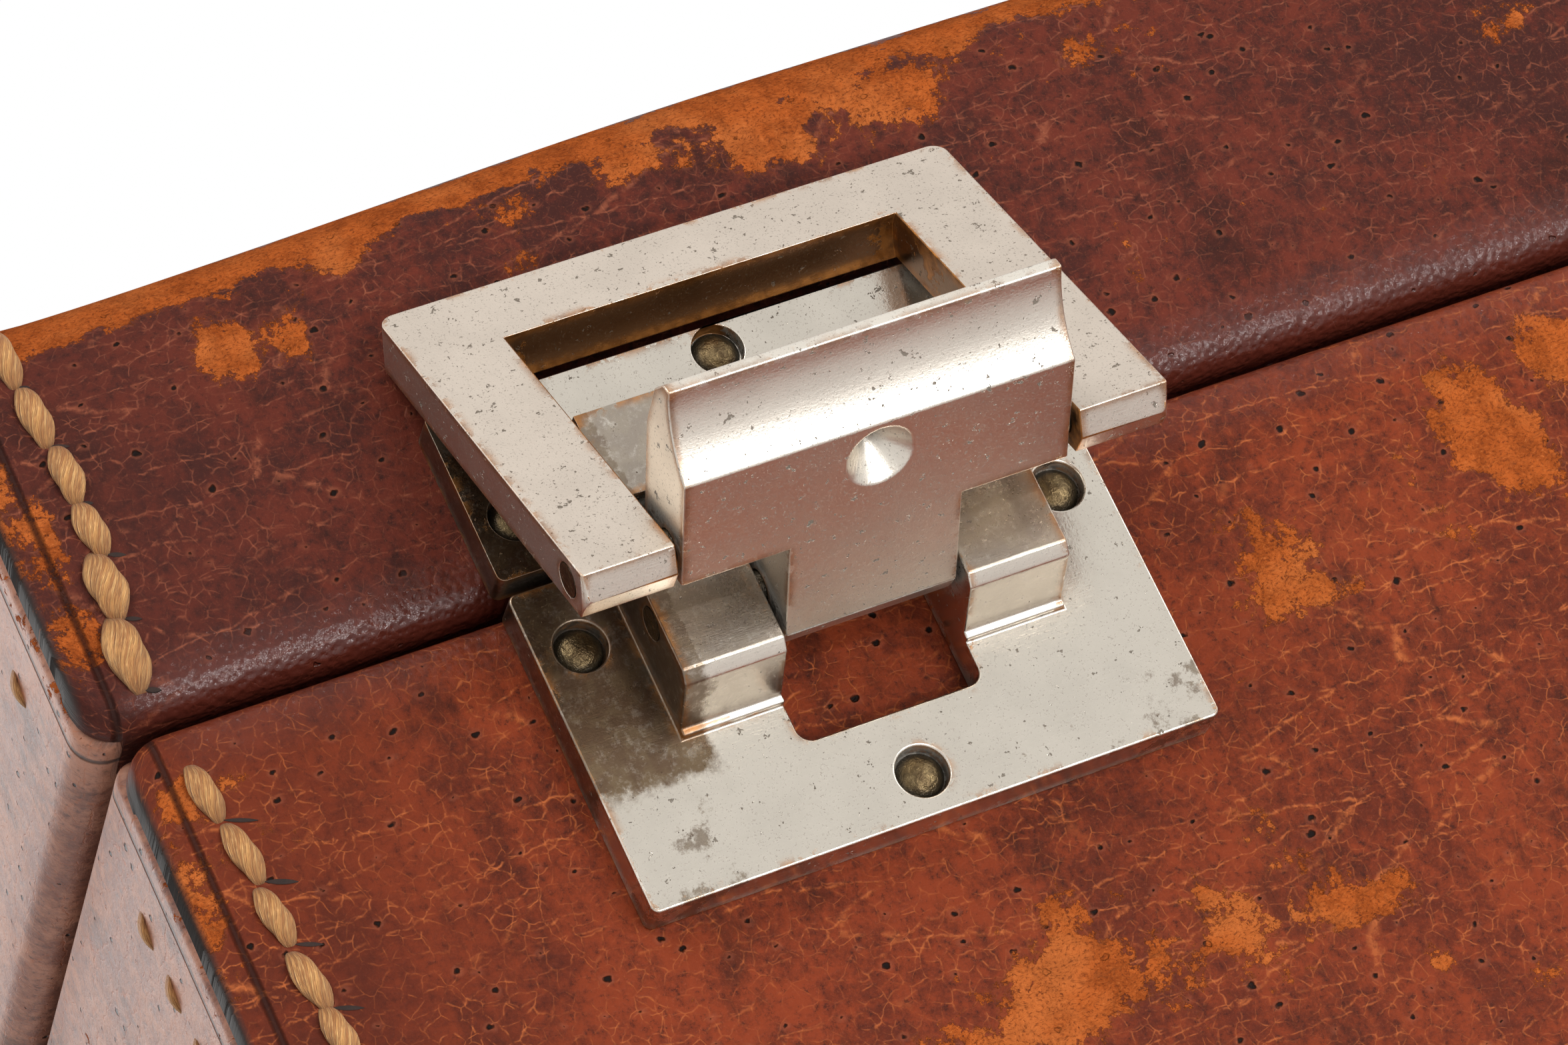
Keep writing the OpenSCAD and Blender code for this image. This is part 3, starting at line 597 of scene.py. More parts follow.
def sheet(bm, outer, inner, uv, data, shade):
    """Adds a closed sheet to bm from its outer and inner grids of points, all in millimetres.

    uv is a grid of hide coordinates and data a dict of grids, one per attribute in shade.
    """
    rows, columns = outer.shape[:2]
    layers = {name: bm.verts.layers.float.get(name) or bm.verts.layers.float.new(name) for name in shade}
    uv_layer = bm.loops.layers.uv.get("hide") or bm.loops.layers.uv.new("hide")
    grids = []
    for grid in (outer, inner):
        made = [[bm.verts.new(grid[r, c]) for c in range(columns)] for r in range(rows)]
        for r in range(rows):
            for c in range(columns):
                for name, layer in layers.items():
                    made[r][c][layer] = float(data[name][r, c])
        grids.append(made)
    top, under = grids
    faces = []

    def face(points, places):
        """One face, with the hide coordinates of its corners."""
        made = bm.faces.new(points)
        made.smooth = True
        for loop, (r, c) in zip(made.loops, places):
            loop[uv_layer].uv = uv[r, c] / HIDE_UNIT
        faces.append(made)

    for r in range(rows - 1):
        for c in range(columns - 1):
            ring = [(r, c), (r, c + 1), (r + 1, c + 1), (r + 1, c)]
            face([top[i][j] for i, j in ring], ring)
            back = ring[::-1]
            face([under[i][j] for i, j in back], back)
    border = [(r, 0) for r in range(rows)]
    border += [(rows - 1, c) for c in range(1, columns)]
    border += [(r, columns - 1) for r in range(rows - 2, -1, -1)]
    border += [(0, c) for c in range(columns - 2, 0, -1)]
    for here, there in zip(border, border[1:] + border[:1]):
        points = [
            top[here[0]][here[1]],
            top[there[0]][there[1]],
            under[there[0]][there[1]],
            under[here[0]][here[1]],
        ]
        face(points, [here, there, there, here])
    bmesh.ops.recalc_face_normals(bm, faces=faces)


def loft(bm, rings, uv_of=None, closed=False, smooth_caps=False):
    """Joins rings of vertices into a tube, with caps unless it is closed on itself.

    uv_of gives a ring and a step round it their hide coordinates.
    """
    uv_layer = bm.loops.layers.uv.get("hide")
    around = len(rings[0])
    for i in range(len(rings) if closed else len(rings) - 1):
        here, there = rings[i], rings[(i + 1) % len(rings)]
        for j in range(around):
            k = (j + 1) % around
            face = bm.faces.new([here[j], here[k], there[k], there[j]])
            face.smooth = True
            if uv_of is not None:
                for loop, spot in zip(face.loops, ((i, j), (i, j + 1), (i + 1, j + 1), (i + 1, j))):
                    loop[uv_layer].uv = uv_of(*spot)
    if not closed:
        for ring in (rings[0][::-1], rings[-1]):
            bm.faces.new(ring).smooth = smooth_caps


def arc(centre, radius, start, end, count):
    """Points of an arc, angles in degrees."""
    angles = np.radians(np.linspace(start, end, count))
    return [(centre[0] + radius * math.cos(a), centre[1] + radius * math.sin(a)) for a in angles]


def line(start, end, count):
    """Points from start up to, but not at, end."""
    steps = np.linspace(0, 1, count, endpoint=False)
    return [(start[0] + (end[0] - start[0]) * t, start[1] + (end[1] - start[1]) * t) for t in steps]


def smooth(value):
    """A value held between 0 and 1 with soft ends."""
    value = np.clip(value, 0, 1)
    return value * value * (3 - 2 * value)


def wrap_path(height, rim_r, hook):
    """Half of a wrapped hide's section, from the hook over the rim to the middle of the base.

    Returns outer and inner points as (distance in from the front face, height from the base).
    The base is at height 0 and the rim at the top, for body and lid alike.
    """
    outer = line((hook, height), (rim_r, height), 5)
    outer += arc((rim_r, height - rim_r), rim_r, 90, 180, 9)[:-1]
    outer += line((0, height - rim_r), (0, FOLD_R), max(8, int(height / 3)))
    outer += arc((FOLD_R, FOLD_R), FOLD_R, 180, 270, 11)[:-1]
    outer += line((FOLD_R, 0), (half_d, 0), 22) + [(half_d, 0)]
    inner_r = FOLD_R - leather_t
    level = height - turn_t
    inner = line((hook, level), (leather_t, level), 5)
    inner += [(leather_t, level)] * 8
    inner += line((leather_t, level), (leather_t, FOLD_R), max(8, int(height / 3)))
    inner += arc((FOLD_R, FOLD_R), inner_r, 180, 270, 11)[:-1]
    inner += line((FOLD_R, leather_t), (half_d, leather_t), 22) + [(half_d, leather_t)]
    return np.array(outer), np.array(inner)


def across(half, fine_from, step):
    """Stations from -half to half, closer together near the ends and rounded at them."""
    middle = list(np.arange(-fine_from, fine_from + 0.1, step))
    near = [fine_from + 1.5, half - 4.4, half - 3.4, half - 2.6 - 0.05, half - 2.6 + 0.05]
    near += [half - 2.0, half - 1.4, half - 0.9, half - 0.5, half - 0.25, half - 0.08, half]
    return np.array([-x for x in reversed(near)] + middle + near)


def end_rounding(x, half, radius=0.55):
    """How far the faces of a cut edge draw together x millimetres from the middle."""
    d = np.clip(half - np.abs(x), 0, radius)
    return radius - np.sqrt(np.clip(radius**2 - (radius - d) ** 2, 0, None))


def seed_noise(points, size, amount, seed):
    """Smooth offsets for a grid of points."""
    flat = points.reshape(-1, 3)
    values = [noise.noise(Vector(p) / size + Vector((seed, seed * 0.7, seed * 1.3))) for p in flat]
    return amount * np.array(values).reshape(points.shape[:2])


def corner_drop(distance, radius):
    """How far a rounded corner has dropped at a distance past its start."""
    return radius - math.sqrt(max(radius**2 - distance**2, 0)) if distance > 0 else 0.0


def thin_at_cut(outer_row, inner_row, pull):
    """Draws the two faces of a row together where it ends in a cut edge."""
    middle = (outer_row + inner_row) / 2
    thick = np.linalg.norm(outer_row - inner_row, axis=1, keepdims=True) / 2
    share = np.clip(1 - pull / np.maximum(thick, 0.3), 0.1, 1)
    outer_row[:] = middle + (outer_row - middle) * share
    inner_row[:] = middle + (inner_row - middle) * share


def run_along(path):
    """Distance along a path at each of its points."""
    steps = np.linalg.norm(np.diff(path, axis=0), axis=1)
    return np.concatenate([[0], np.cumsum(steps)])


def there_and_back(values):
    """A half section's values followed by the same ones in reverse, with the middle one once."""
    return np.concatenate([values, values[-2::-1]])


def lid_droop(x, depth):
    """How far the lid's worn top edge has sunk, x from the middle and depth in from front or back."""
    from_end = half_w - np.abs(x)
    sunk = 0.6 + 1.4 * smooth(1 - (from_end - 8) / 52) - 0.3 * smooth(1 - from_end / 8)
    return sunk * smooth(1 - (depth - 6) / 34)


# Rubbed spots on the front as the photograph shows them: x, height, width, depth, in millimetres
SEEN_SPOTS = (
    (-71.4, 170.2, 4.6, 4.6), (-71.8, 166.6, 6.4, 4.8), (-52.4, 171.9, 6.0, 6.6),
    (-52.0, 168.8, 4.6, 4.6), (-59.8, 181.3, 9.0, 3.6), (-53.5, 181.4, 8.0, 4.4),
    (-47.8, 180.6, 6.0, 5.0), (-45.4, 177.6, 4.2, 8.0), (-78.4, 146.0, 7.4, 4.8),
    (-74.6, 145.6, 4.6, 4.0), (-103.0, 145.0, 9.5, 8.0), (-98.0, 146.2, 9.0, 8.0),
    (-94.0, 147.2, 8.0, 7.0), (-84.4, 145.4, 6.6, 6.4), (-88.2, 144.8, 5.6, 4.6),
    (-72.7, 140.0, 3.4, 3.0), (-66.4, 136.1, 4.8, 3.6), (-74.8, 152.9, 2.6, 2.6),
    (-80.0, 152.2, 2.4, 2.4), (-127.8, 180.0, 6.0, 2.4), (-57.1, 165.5, 3.2, 4.2),
    (-49.7, 167.0, 3.4, 7.6), (-143.6, 178.6, 3.6, 6.0), (-65.4, 207.6, 6.4, 4.0),
    (-61.7, 205.0, 4.2, 3.0), (-78.2, 209.6, 8.0, 6.0), (-73.0, 211.2, 6.0, 4.0),
    (-106.7, 208.4, 7.0, 5.0), (-108.1, 204.8, 2.8, 2.6), (-97.6, 210.0, 8.0, 4.0),
    (-83.8, 210.2, 8.0, 4.0), (-127.6, 206.0, 4.0, 7.0), (-123.8, 204.4, 3.6, 7.0),
    (-88.8, 208.7, 9.0, 5.6), (-136.6, 185.4, 3.6, 2.4), (-139.4, 184.6, 5.0, 2.6),
    (-144.0, 196.0, 3.6, 8.0), (-144.0, 189.0, 4.0, 8.0), (-118.0, 211.0, 9.0, 3.4),
)
SPOT_WEAR = 0.60
PHOTO_EDGE_X = -36  # the photograph shows the front to the left of this
SPARED_X = -95  # to the left of this the front is rubbed only in the spots above
SPARED_WEAR = -0.16


def spot_wear(across_hide, along_hide, spots):
    """Wear from a list of rubbed spots over a grid of hide positions."""
    total = np.zeros(np.broadcast(across_hide, along_hide).shape)
    for x, place, width, depth in spots:
        off = np.hypot((across_hide - x) / width, (along_hide - place) / depth)
        total = np.maximum(total, SPOT_WEAR * smooth(1.0 - off))
    return total


def guessed_spots(length, rng, count):
    """Like spots for the sides that the photograph does not show."""
    return [(rng.uniform(-half_w, half_w), rng.uniform(0, length), rng.uniform(3, 9), rng.uniform(2.5, 6))
            for _ in range(count)]


SHORT_HOOK = leather_t + 0.02  # how far the rim turns in where there is no board under it
HIDE_APART = 400  # the hides lie this far apart on the pattern, so that no two are alike
SAG_SIZE = 16
SAG_DEPTH = 0.16


def turn_over(*grids):
    """Turns a lid's faces the right way up, as they are worked out with its top at height 0."""
    for grid in grids:
        grid[:, :, 2] = case_top - grid[:, :, 2]


def wrap_shape(xs, height, rim_r, is_lid):
    """The long hide's half section and its outer and inner faces, with hooks over the boards' edges."""
    outer_half, inner_half = wrap_path(height, rim_r, half_d - inner_y)
    short_outer, short_inner = wrap_path(height, rim_r, SHORT_HOOK)
    over = 1 + LID_OVER / half_w if is_lid else 1
    outer = np.zeros((len(xs), 2 * len(outer_half) - 1, 3))
    inner = np.zeros_like(outer)
    for r, x in enumerate(xs):
        past_board = abs(x) > board_x
        halves = (short_outer, short_inner) if past_board else (outer_half, inner_half)
        drop = corner_drop(abs(x) - (half_w - RIM_CORNER_R), RIM_CORNER_R)
        for grid, half in ((outer, halves[0]), (inner, halves[1])):
            y = np.concatenate([half[:, 0] - half_d, half_d - half[-2::-1, 0]])
            z = there_and_back(half[:, 1])
            z = z - drop * smooth((z - (height - 9)) / 9)
            if is_lid:
                z = z + lid_droop(x, half_d - np.abs(y)) * smooth(1 - z / 16)
            grid[r, :, 0] = x * over
            grid[r, :, 1] = y
            grid[r, :, 2] = z
        thin_at_cut(outer[r], inner[r], end_rounding(x, half_w))
    return outer_half, outer, inner


def wrap_wear(xs, along, half_section, height, is_lid, seed):
    """The long hide's attributes: worn at its folds, cut edges and rubbed spots, glossy at its rim."""
    heights = there_and_back(half_section[:, 1])
    depth = there_and_back(half_section[:, 0])
    from_end = half_w - np.abs(xs)[:, None]
    fold = smooth(1 - heights / 7.5) * smooth(1 - depth / 7.5)
    on_fold = np.maximum(fold, 0.9 * smooth(1 - np.abs(heights - 2.2) / 4.0) * (depth < 6))
    rim = smooth((heights - (height - 3.2)) / 2.0) * (depth < leather_t + 2)
    edge_wear = smooth(1 - (from_end - 0.6) / 3.0)
    fold_share, edge_share = (0.95, 0.42) if is_lid else (0.55, 0.20)
    wear = np.maximum(on_fold[None, :] * fold_share, edge_share * edge_wear)
    face_height = case_top - heights if is_lid else heights
    on_front = (np.arange(len(along)) < len(half_section) - 1) & (depth < FOLD_R)
    seen = spot_wear(xs[:, None], face_height[None, :], SEEN_SPOTS) * on_front[None, :]
    rng = random.Random(seed)
    guesses = guessed_spots(along[-1], rng, int(along[-1] / 5))
    guessed = spot_wear(xs[:, None], along[None, :], guesses)
    in_photo = on_front[None, :] * smooth((PHOTO_EDGE_X - xs[:, None]) / 8)
    wear = np.maximum(wear, np.maximum(seen, guessed * (1 - in_photo)))
    spared = on_front[None, :] * smooth((SPARED_X - xs[:, None]) / 15)
    wear = wear + SPARED_WEAR * spared * smooth(1 - wear / 0.25)
    wear = wear - 0.6 * rim[None, :]
    polish = np.repeat(rim[None, :], len(xs), axis=0) * smooth((from_end - 2) / 4)
    if not is_lid:
        polish = polish * 0.35
    raw = smooth(1 - from_end / 0.5) + 0 * wear
    return {"wear": wear, "polish": polish, "raw": raw, "inset": from_end + 0 * wear}


def wrap_hide(name, body, height, rim_r, is_lid, material, replaced, seed):
    """The long hide round the front, base and back of the body, or over the lid."""
    xs = across(half_w, half_w - 9, 2.0)
    half_section, outer, inner = wrap_shape(xs, height, rim_r, is_lid)
    along_half = run_along(half_section)
    along = np.concatenate([along_half, 2 * along_half[-1] - along_half[-2::-1]])
    uv = np.zeros((len(xs), len(along), 2))
    uv[:, :, 0] = xs[:, None] + seed * HIDE_APART
    uv[:, :, 1] = along[None, :]
    data = wrap_wear(xs, along, half_section, height, is_lid, seed)
    sag = np.maximum(seed_noise(outer, SAG_SIZE, SAG_DEPTH, seed), 0)
    for grid in (outer, inner):
        on_wall = np.abs(grid[:, :, 1]) > half_d - 4
        grid[:, :, 1] -= sag * on_wall * np.sign(grid[:, :, 1])
    if is_lid:
        turn_over(outer, inner)
    bm = bmesh.new()
    sheet(bm, outer, inner, uv, data, tuple(data))
    return make_piece(name, bm, body, [material], replaced)


def end_path(height, rim_r, hook):
    """An end hide's section, from its base edge up its face and over the rim.

    Returns outer and inner points as (distance in from the end face, height from the base).
    """
    base = leather_t + END_SEAM
    outer = [(0.5, base), (0.15, base + 0.12), (0, base + 0.5)]
    outer += line((0, base + 1.2), (0, height - rim_r), max(10, int(height / 3)))
    outer += arc((rim_r, height - rim_r), rim_r, 180, 90, 9)[:-1]
    outer += line((rim_r, height), (hook, height), 5) + [(hook, height)]
    level = height - turn_t
    inner = [(leather_t - 0.5, base), (leather_t - 0.15, base + 0.12), (leather_t, base + 0.5)]
    inner += line((leather_t, base + 1.2), (leather_t, level), max(10, int(height / 3)))
    inner += [(leather_t, level)] * 8
    inner += line((leather_t, level), (hook, level), 5) + [(hook, level)]
    return np.array(outer), np.array(inner)


def end_hide(name, body, side, height, rim_r, is_lid, material, replaced, seed):
    """The hide over one end of body or lid, let in between the long hide's edges."""
    half = board_y - END_SEAM
    outer_path, inner_path = end_path(height, rim_r, half_w - inner_x)
    short_outer, short_inner = end_path(height, rim_r, SHORT_HOOK)
    ys = across(half, half - 9, 3.2)
    over = LID_OVER if is_lid else 0
    corner_r = FOLD_R - leather_t - END_SEAM
    outer = np.zeros((len(ys), len(outer_path), 3))
    inner = np.zeros_like(outer)
    for r, y in enumerate(ys):
        past_board = abs(y) > inner_y - END_SEAM
        paths = (short_outer, short_inner) if past_board else (outer_path, inner_path)
        lift = corner_drop(abs(y) - (half - corner_r), corner_r)
        for grid, path in ((outer, paths[0]), (inner, paths[1])):
            z = path[:, 1] + lift * smooth(1 - (path[:, 1] - 3) / 9)
            if is_lid:
                z = z + lid_droop(half_w, half_d - abs(y)) * smooth(1 - z / 16)
            grid[r, :, 0] = side * (half_w + over - path[:, 0])
            grid[r, :, 1] = y
            grid[r, :, 2] = z
        thin_at_cut(outer[r], inner[r], end_rounding(y, half, 0.7))
    along = run_along(outer_path)
    uv = np.zeros((len(ys), len(along), 2))
    uv[:, :, 0] = ys[:, None] + seed * HIDE_APART
    uv[:, :, 1] = along[None, :]
    from_edge = half - np.abs(ys)[:, None]
    heights = outer_path[:, 1][None, :]
    rim = smooth((heights - (height - 3.0)) / 2.0)
    edge_wear = 0.30 * smooth(1 - from_edge / 3.2)
    base_wear = 0.40 * smooth(1 - (heights - 3.2) / 4)
    wear = np.maximum(edge_wear, base_wear) - 0.3 * rim
    polish = -1.4 * rim + 0 * wear
    raw = 0 * wear
    if is_lid:
        turn_over(outer, inner)
    bm = bmesh.new()
    data = {"wear": wear, "polish": polish, "raw": raw, "inset": from_edge + 0 * wear}
    sheet(bm, outer, inner, uv, data, tuple(data))
    return make_piece(name, bm, body, [material], replaced)


def make_leather():
    """The six hides of body and lid."""
    wrap_hide("body_hide", "body", body_h, BODY_RIM_R, False, BODY_HIDE, ["body_leather"], 1)
    wrap_hide("lid_hide", "lid", case_top - lid_z, LID_RIM_R, True, LID_HIDE, ["lid_leather"], 2)
    for side_name, side in SIDES.items():
        end_hide(f"body_end_hide_{side_name}", "body", side, body_h, BODY_RIM_R, False, END_HIDE,
                 [f"body_{side_name}_leather"], 4 + side)
        end_hide(f"lid_end_hide_{side_name}", "lid", side, case_top - lid_z, LID_RIM_R, True, END_HIDE,
                 [f"lid_{side_name}_leather"], 8 + side)


def dressed(node, body, materials, bevel=0.16, segments=2, pick=None):
    """A copy of a frame node with softened edges; pick gives a face its place in materials."""
    bm = bmesh.new()
    bm.from_mesh(nodes[node].data)
    bmesh.ops.scale(bm, vec=(1 / MM, 1 / MM, 1 / MM), verts=bm.verts)
    bmesh.ops.remove_doubles(bm, verts=bm.verts, dist=0.0005)
    bmesh.ops.dissolve_limit(bm, angle_limit=math.radians(0.7), verts=bm.verts, edges=bm.edges)
    sharp = [e for e in bm.edges if e.is_manifold and e.calc_face_angle(0) > math.radians(28)]
    bmesh.ops.bevel(bm, geom=sharp, offset=bevel, segments=segments, profile=0.5, affect="EDGES",
                    clamp_overlap=False)
    for face in bm.faces:
        face.smooth = True
        if pick is not None:
            face.material_index = pick(face)
    piece = make_piece(node + "_dressed", bm, body, materials, [node])
    weighted = piece.modifiers.new("even_normals", "WEIGHTED_NORMAL")
    weighted.keep_sharp = False
    return piece


BAIL_TILT = math.radians(28.85)
BAIL_OUT = Vector((0, -math.cos(BAIL_TILT), math.sin(BAIL_TILT)))
FRONT = Vector((0, -1, 0))


def plate_finish(face):
    """A plate's broad front is a little duller than its lugs and edges."""
    return 1 if face.normal.dot(FRONT) > 0.93 and face.calc_center_median().y > plate_y - 0.3 else 0


def bail_finish(face, low, high):
    """A bail's broad face is dull, the walls of its window are tarnished and the rest is bright."""
    if face.normal.dot(BAIL_OUT) > 0.93:
        return 1
    middle = face.calc_center_median()
    within = low.x + 3 < middle.x < high.x - 3 and middle.z < high.z - 3
    inward = face.normal.dot(Vector((0.5 * (low.x + high.x) - middle.x, 0, 0))) > 0.4
    return 2 if within and (inward or face.normal.z < -0.6) else 0


def make_latches():
    """Plates, levers and bails with softened edges and their finishes."""
    for side_name in SIDES:
        dressed(f"latch_plate_{side_name}", "body", [BRIGHT, PLATE], pick=plate_finish)
        dressed(f"catch_plate_{side_name}", "lid", [BRIGHT, PLATE], 0.06, pick=plate_finish)
        lever, bail = f"lever_{side_name}", f"bail_{side_name}"
        dressed(lever, lever, [LEVER], 0.14)
        low, high = corners(bail)
        dressed(bail, bail, [LEVER, SATIN, TARNISHED], 0.10,
                pick=lambda face: bail_finish(face, low, high))


def make_fittings():
    """Hinges, handle irons and boards with softened edges, and the finish of nails and pins."""
    irons = {"hinge_body_leaf": "body", "hinge_lid_leaf": "lid", "handle_bracket": "lid"}
    for side_name in SIDES:
        for node, body in irons.items():
            dressed(f"{node}_{side_name}", body, [BRIGHT], 0.05, segments=1)
    dressed("handle_core", "handle", [BRIGHT], 0.12, segments=1)
    for name in nodes:
        if name.endswith("_board"):
            dressed(name, "lid" if name.startswith("lid") else "body", [BOARD], 0.4, segments=1)
    assign(NAIL_BRASS, [name for name in nodes if "nails" in name or "pin" in name])


def assign(material, names):
    """Gives the frame's own nodes their finish."""
    for name in names:
        mesh = nodes[name].data
        mesh.materials.clear()
        mesh.materials.append(material)


def thread_mesh():
    """An empty bmesh with the layers that stitches need."""
    bm = bmesh.new()
    bm.loops.layers.uv.new("hide")
    bm.verts.layers.float.new("wear")
    return bm


def stitch(bm, centre, along, normal, length, width, height, twist):
    """One stitch: a twisted lens that dives into the leather at both ends."""
    end_layer = bm.verts.layers.float["wear"]
    sideways = normal.cross(along).normalized()
    around, steps = 16, 12
    rings = []
    for i in range(steps + 1):
        t = i / steps
        bulge = math.sin(math.pi * (0.04 + 0.92 * t))
        half = 0.5 * width * bulge**0.62
        tall = height * bulge**0.75
        sunk = -0.30 * (1 - bulge)
        at = centre + along * (length * (t - 0.5)) + normal * (0.42 * tall + sunk)
        ring = []
        for j in range(around):
            a = 2 * math.pi * j / around
            strand = 1 + 0.11 * math.cos(3 * (a - twist * t))
            across_thread = sideways * (half * strand * math.cos(a))
            over_thread = normal * (0.58 * tall * strand * math.sin(a))
            vert = bm.verts.new(at + across_thread + over_thread)
            # how near the thread's end a point is, which darkens the thread there
            vert[end_layer] = (1 - bulge) ** 1.5
            ring.append(vert)
        rings.append(ring)

    def hide_place(i, j):
        """Hide coordinates that follow the thread's strands."""
        turn = j / around - twist * i / steps / (2 * math.pi)
        return length * i / steps / HIDE_UNIT, turn * 2.2 * width / HIDE_UNIT

    loft(bm, rings, hide_place, smooth_caps=True)


def slit(bm, start, along, normal, length, width):
    """A dark almond shape that lies on the leather: painted shade for an awl cut."""
    sideways = normal.cross(along).normalized()
    steps = 8
    top, low = [], []
    for i in range(steps + 1):
        t = i / steps
        half = 0.5 * width * math.sin(math.pi * t) ** 0.8 + 0.01
        at = start + along * (length * t)
        top.append([bm.verts.new(at + sideways * half * k + normal * 0.035) for k in (-1, 1)])
        low.append([bm.verts.new(at + sideways * half * k - normal * 0.25) for k in (-1, 1)])
    for i in range(steps):
        bm.faces.new([top[i][0], top[i][1], top[i + 1][1], top[i + 1][0]])
        bm.faces.new([low[i][1], low[i][0], low[i + 1][0], low[i + 1][1]])
        bm.faces.new([top[i][1], low[i][1], low[i + 1][1], top[i + 1][1]])
        bm.faces.new([low[i][0], top[i][0], top[i + 1][0], low[i + 1][0]])
    bm.faces.new([top[0][1], top[0][0], low[0][0], low[0][1]])
    bm.faces.new([top[-1][0], top[-1][1], low[-1][1], low[-1][0]])


STITCH_PITCH = 4.45
END_STITCH_INSET = 8.5
LID_SEAM_INSET = 4.0
BODY_SEAM_INSET = 5.2
SEAM_START = 12
BASE_SEAM_DEPTH = 0.95
FINE_LENGTH = 3.0
FINE_WIDTH = 1.0
SEWING_SEEDS = {"body": 5, "lid": 17}

# The corner rows as the photograph shows them: distance from the case's end, height, length and width
SEEN_LID = ((3.4, 208.9, 4.2, 1.8), (3.7, 204.5, 4.4, 1.9), (4.1, 200.1, 4.2, 1.9),
            (4.1, 196.1, 3.9, 1.9), (3.5, 192.1, 4.7, 2.4), (2.9, 187.4, 5.1, 2.6))
SEEN_BODY = ((3.9, 177.1, 4.1, 1.75), (4.6, 172.6, 4.4, 1.75), (4.8, 168.05, 4.2, 1.75),
             (5.15, 163.45, 4.3, 1.8), (5.5, 159.5, 4.2, 1.75))


def seam_centres(is_lid, rng):
    """Centres of the corner stitches from the rim to the fold: inset, height, length, width."""
    seen = SEEN_LID if is_lid else SEEN_BODY
    centres = list(seen)
    height = seen[0][1] if is_lid else seen[-1][1]
    while not is_lid and height > FOLD_R + 2 + STITCH_PITCH:
        height -= STITCH_PITCH
        centres.append((BODY_SEAM_INSET + rng.uniform(-0.15, 0.15), height,
                        STITCH_PITCH * rng.uniform(0.92, 1.0), rng.uniform(1.6, 1.9)))
    return centres


def straight_row(start, along, run, rng):
    """A straight row of stitches: their centres, lengths and widths."""
    count = int(run / STITCH_PITCH)
    pitch = run / count
    return [(start + along * (pitch * (i + 0.5)), pitch * rng.uniform(0.93, 1.0), rng.uniform(1.6, 1.95))
            for i in range(count)]


def sewing_rows(is_lid, rng):
    """Every sewn row: its stitches, direction, normal, inward direction and whether it is fine."""
    base = case_top if is_lid else 0.0
    rim = lid_z if is_lid else body_h
    up = -1 if is_lid else 1
    end_x = half_w + (LID_OVER if is_lid else 0)
    down, to_back = Vector((0, 0, -1)), Vector((0, 1, 0))
    rows = []
    for side in (-1, 1):
        inward = Vector((-side, 0, 0))
        for face in (-1, 1):
            stitches = [(Vector((side * (half_w - inset), face * half_d, height)), length, width)
                        for inset, height, length, width in seam_centres(is_lid, rng)]
            rows.append((stitches, down, Vector((0, face, 0)), inward, False))
            start = Vector((side * end_x, face * (board_y - END_STITCH_INSET), rim - up * 6))
            run = abs(rim - base) - 2 * END_STITCH_INSET + 2
            stitches = straight_row(start, Vector((0, 0, -up)), run, rng)
            rows.append((stitches, down, -inward, Vector((0, -face, 0)), True))
        if not is_lid:
            start = Vector((side * (half_w - BODY_SEAM_INSET), -half_d + SEAM_START, BASE_SEAM_DEPTH))
            stitches = straight_row(start, to_back, 2 * (half_d - SEAM_START), rng)
            rows.append((stitches, to_back, down, inward, False))
        half_run = board_y - END_STITCH_INSET - 3
        start = Vector((side * end_x, -half_run, base + up * END_STITCH_INSET))
        stitches = straight_row(start, to_back, 2 * half_run, rng)
        rows.append((stitches, to_back, -inward, Vector((0, 0, up)), True))
    return rows


def top_rows(rng):
    """The rows across the lid's top, which follow its sunk edges down."""
    to_back = Vector((0, 1, 0))
    rows = []
    for side in (-1, 1):
        x = side * (half_w - LID_SEAM_INSET)
        start = Vector((x, -half_d + SEAM_START, 0))
        stitches = straight_row(start, to_back, 2 * (half_d - SEAM_START), rng)
        for centre, length, width in stitches:
            centre.z = case_top - float(lid_droop(x, half_d - abs(centre.y)))
        rows.append((stitches, to_back, Vector((0, 0, 1)), Vector((-side, 0, 0)), False))
    return rows


def make_stitching():
    """The sewing of body and lid, with a dark mark of painted shade for an awl cut at the foot of each
    coarse stitch.
    """
    for is_lid, body in ((False, "body"), (True, "lid")):
        rng = random.Random(SEWING_SEEDS[body])
        thread = thread_mesh()
        cut_shades = bmesh.new()
        rows = sewing_rows(is_lid, rng) + (top_rows(rng) if is_lid else [])
        for stitches, along, normal, inward, is_fine in rows:
            for centre, length, width in stitches:
                if is_fine:
                    lean = math.radians(rng.uniform(12, 24))
                    direction = (along * math.cos(lean) + inward * math.sin(lean)).normalized()
                    stitch(thread, centre, direction, normal, FINE_LENGTH, FINE_WIDTH, 0.5, 1.4)
                    continue
                lean = math.radians(rng.uniform(-4, 4) + (2 if is_lid else 10))
                direction = (along * math.cos(lean) + inward * math.sin(lean)).normalized()
                stitch(thread, centre, direction, normal, length + 0.35, width, 0.50 * width,
                       rng.uniform(2.5, 3.5))
                # a dark mark of painted shade for the awl cut at the stitch's foot
                cut = (inward * 0.94 + along * 0.34).normalized()
                size = rng.uniform(0.7, 1.2) if is_lid else rng.uniform(1.5, 2.5)
                foot = centre + direction * (0.5 * length) + inward * 0.2
                slit(cut_shades, foot, cut, normal, size, rng.uniform(0.20, 0.34))
        make_piece(f"{body}_stitching", thread, body, [LINEN])
        make_piece(f"{body}_awl_cut_shades", cut_shades, body, [SLIT_SHADE])


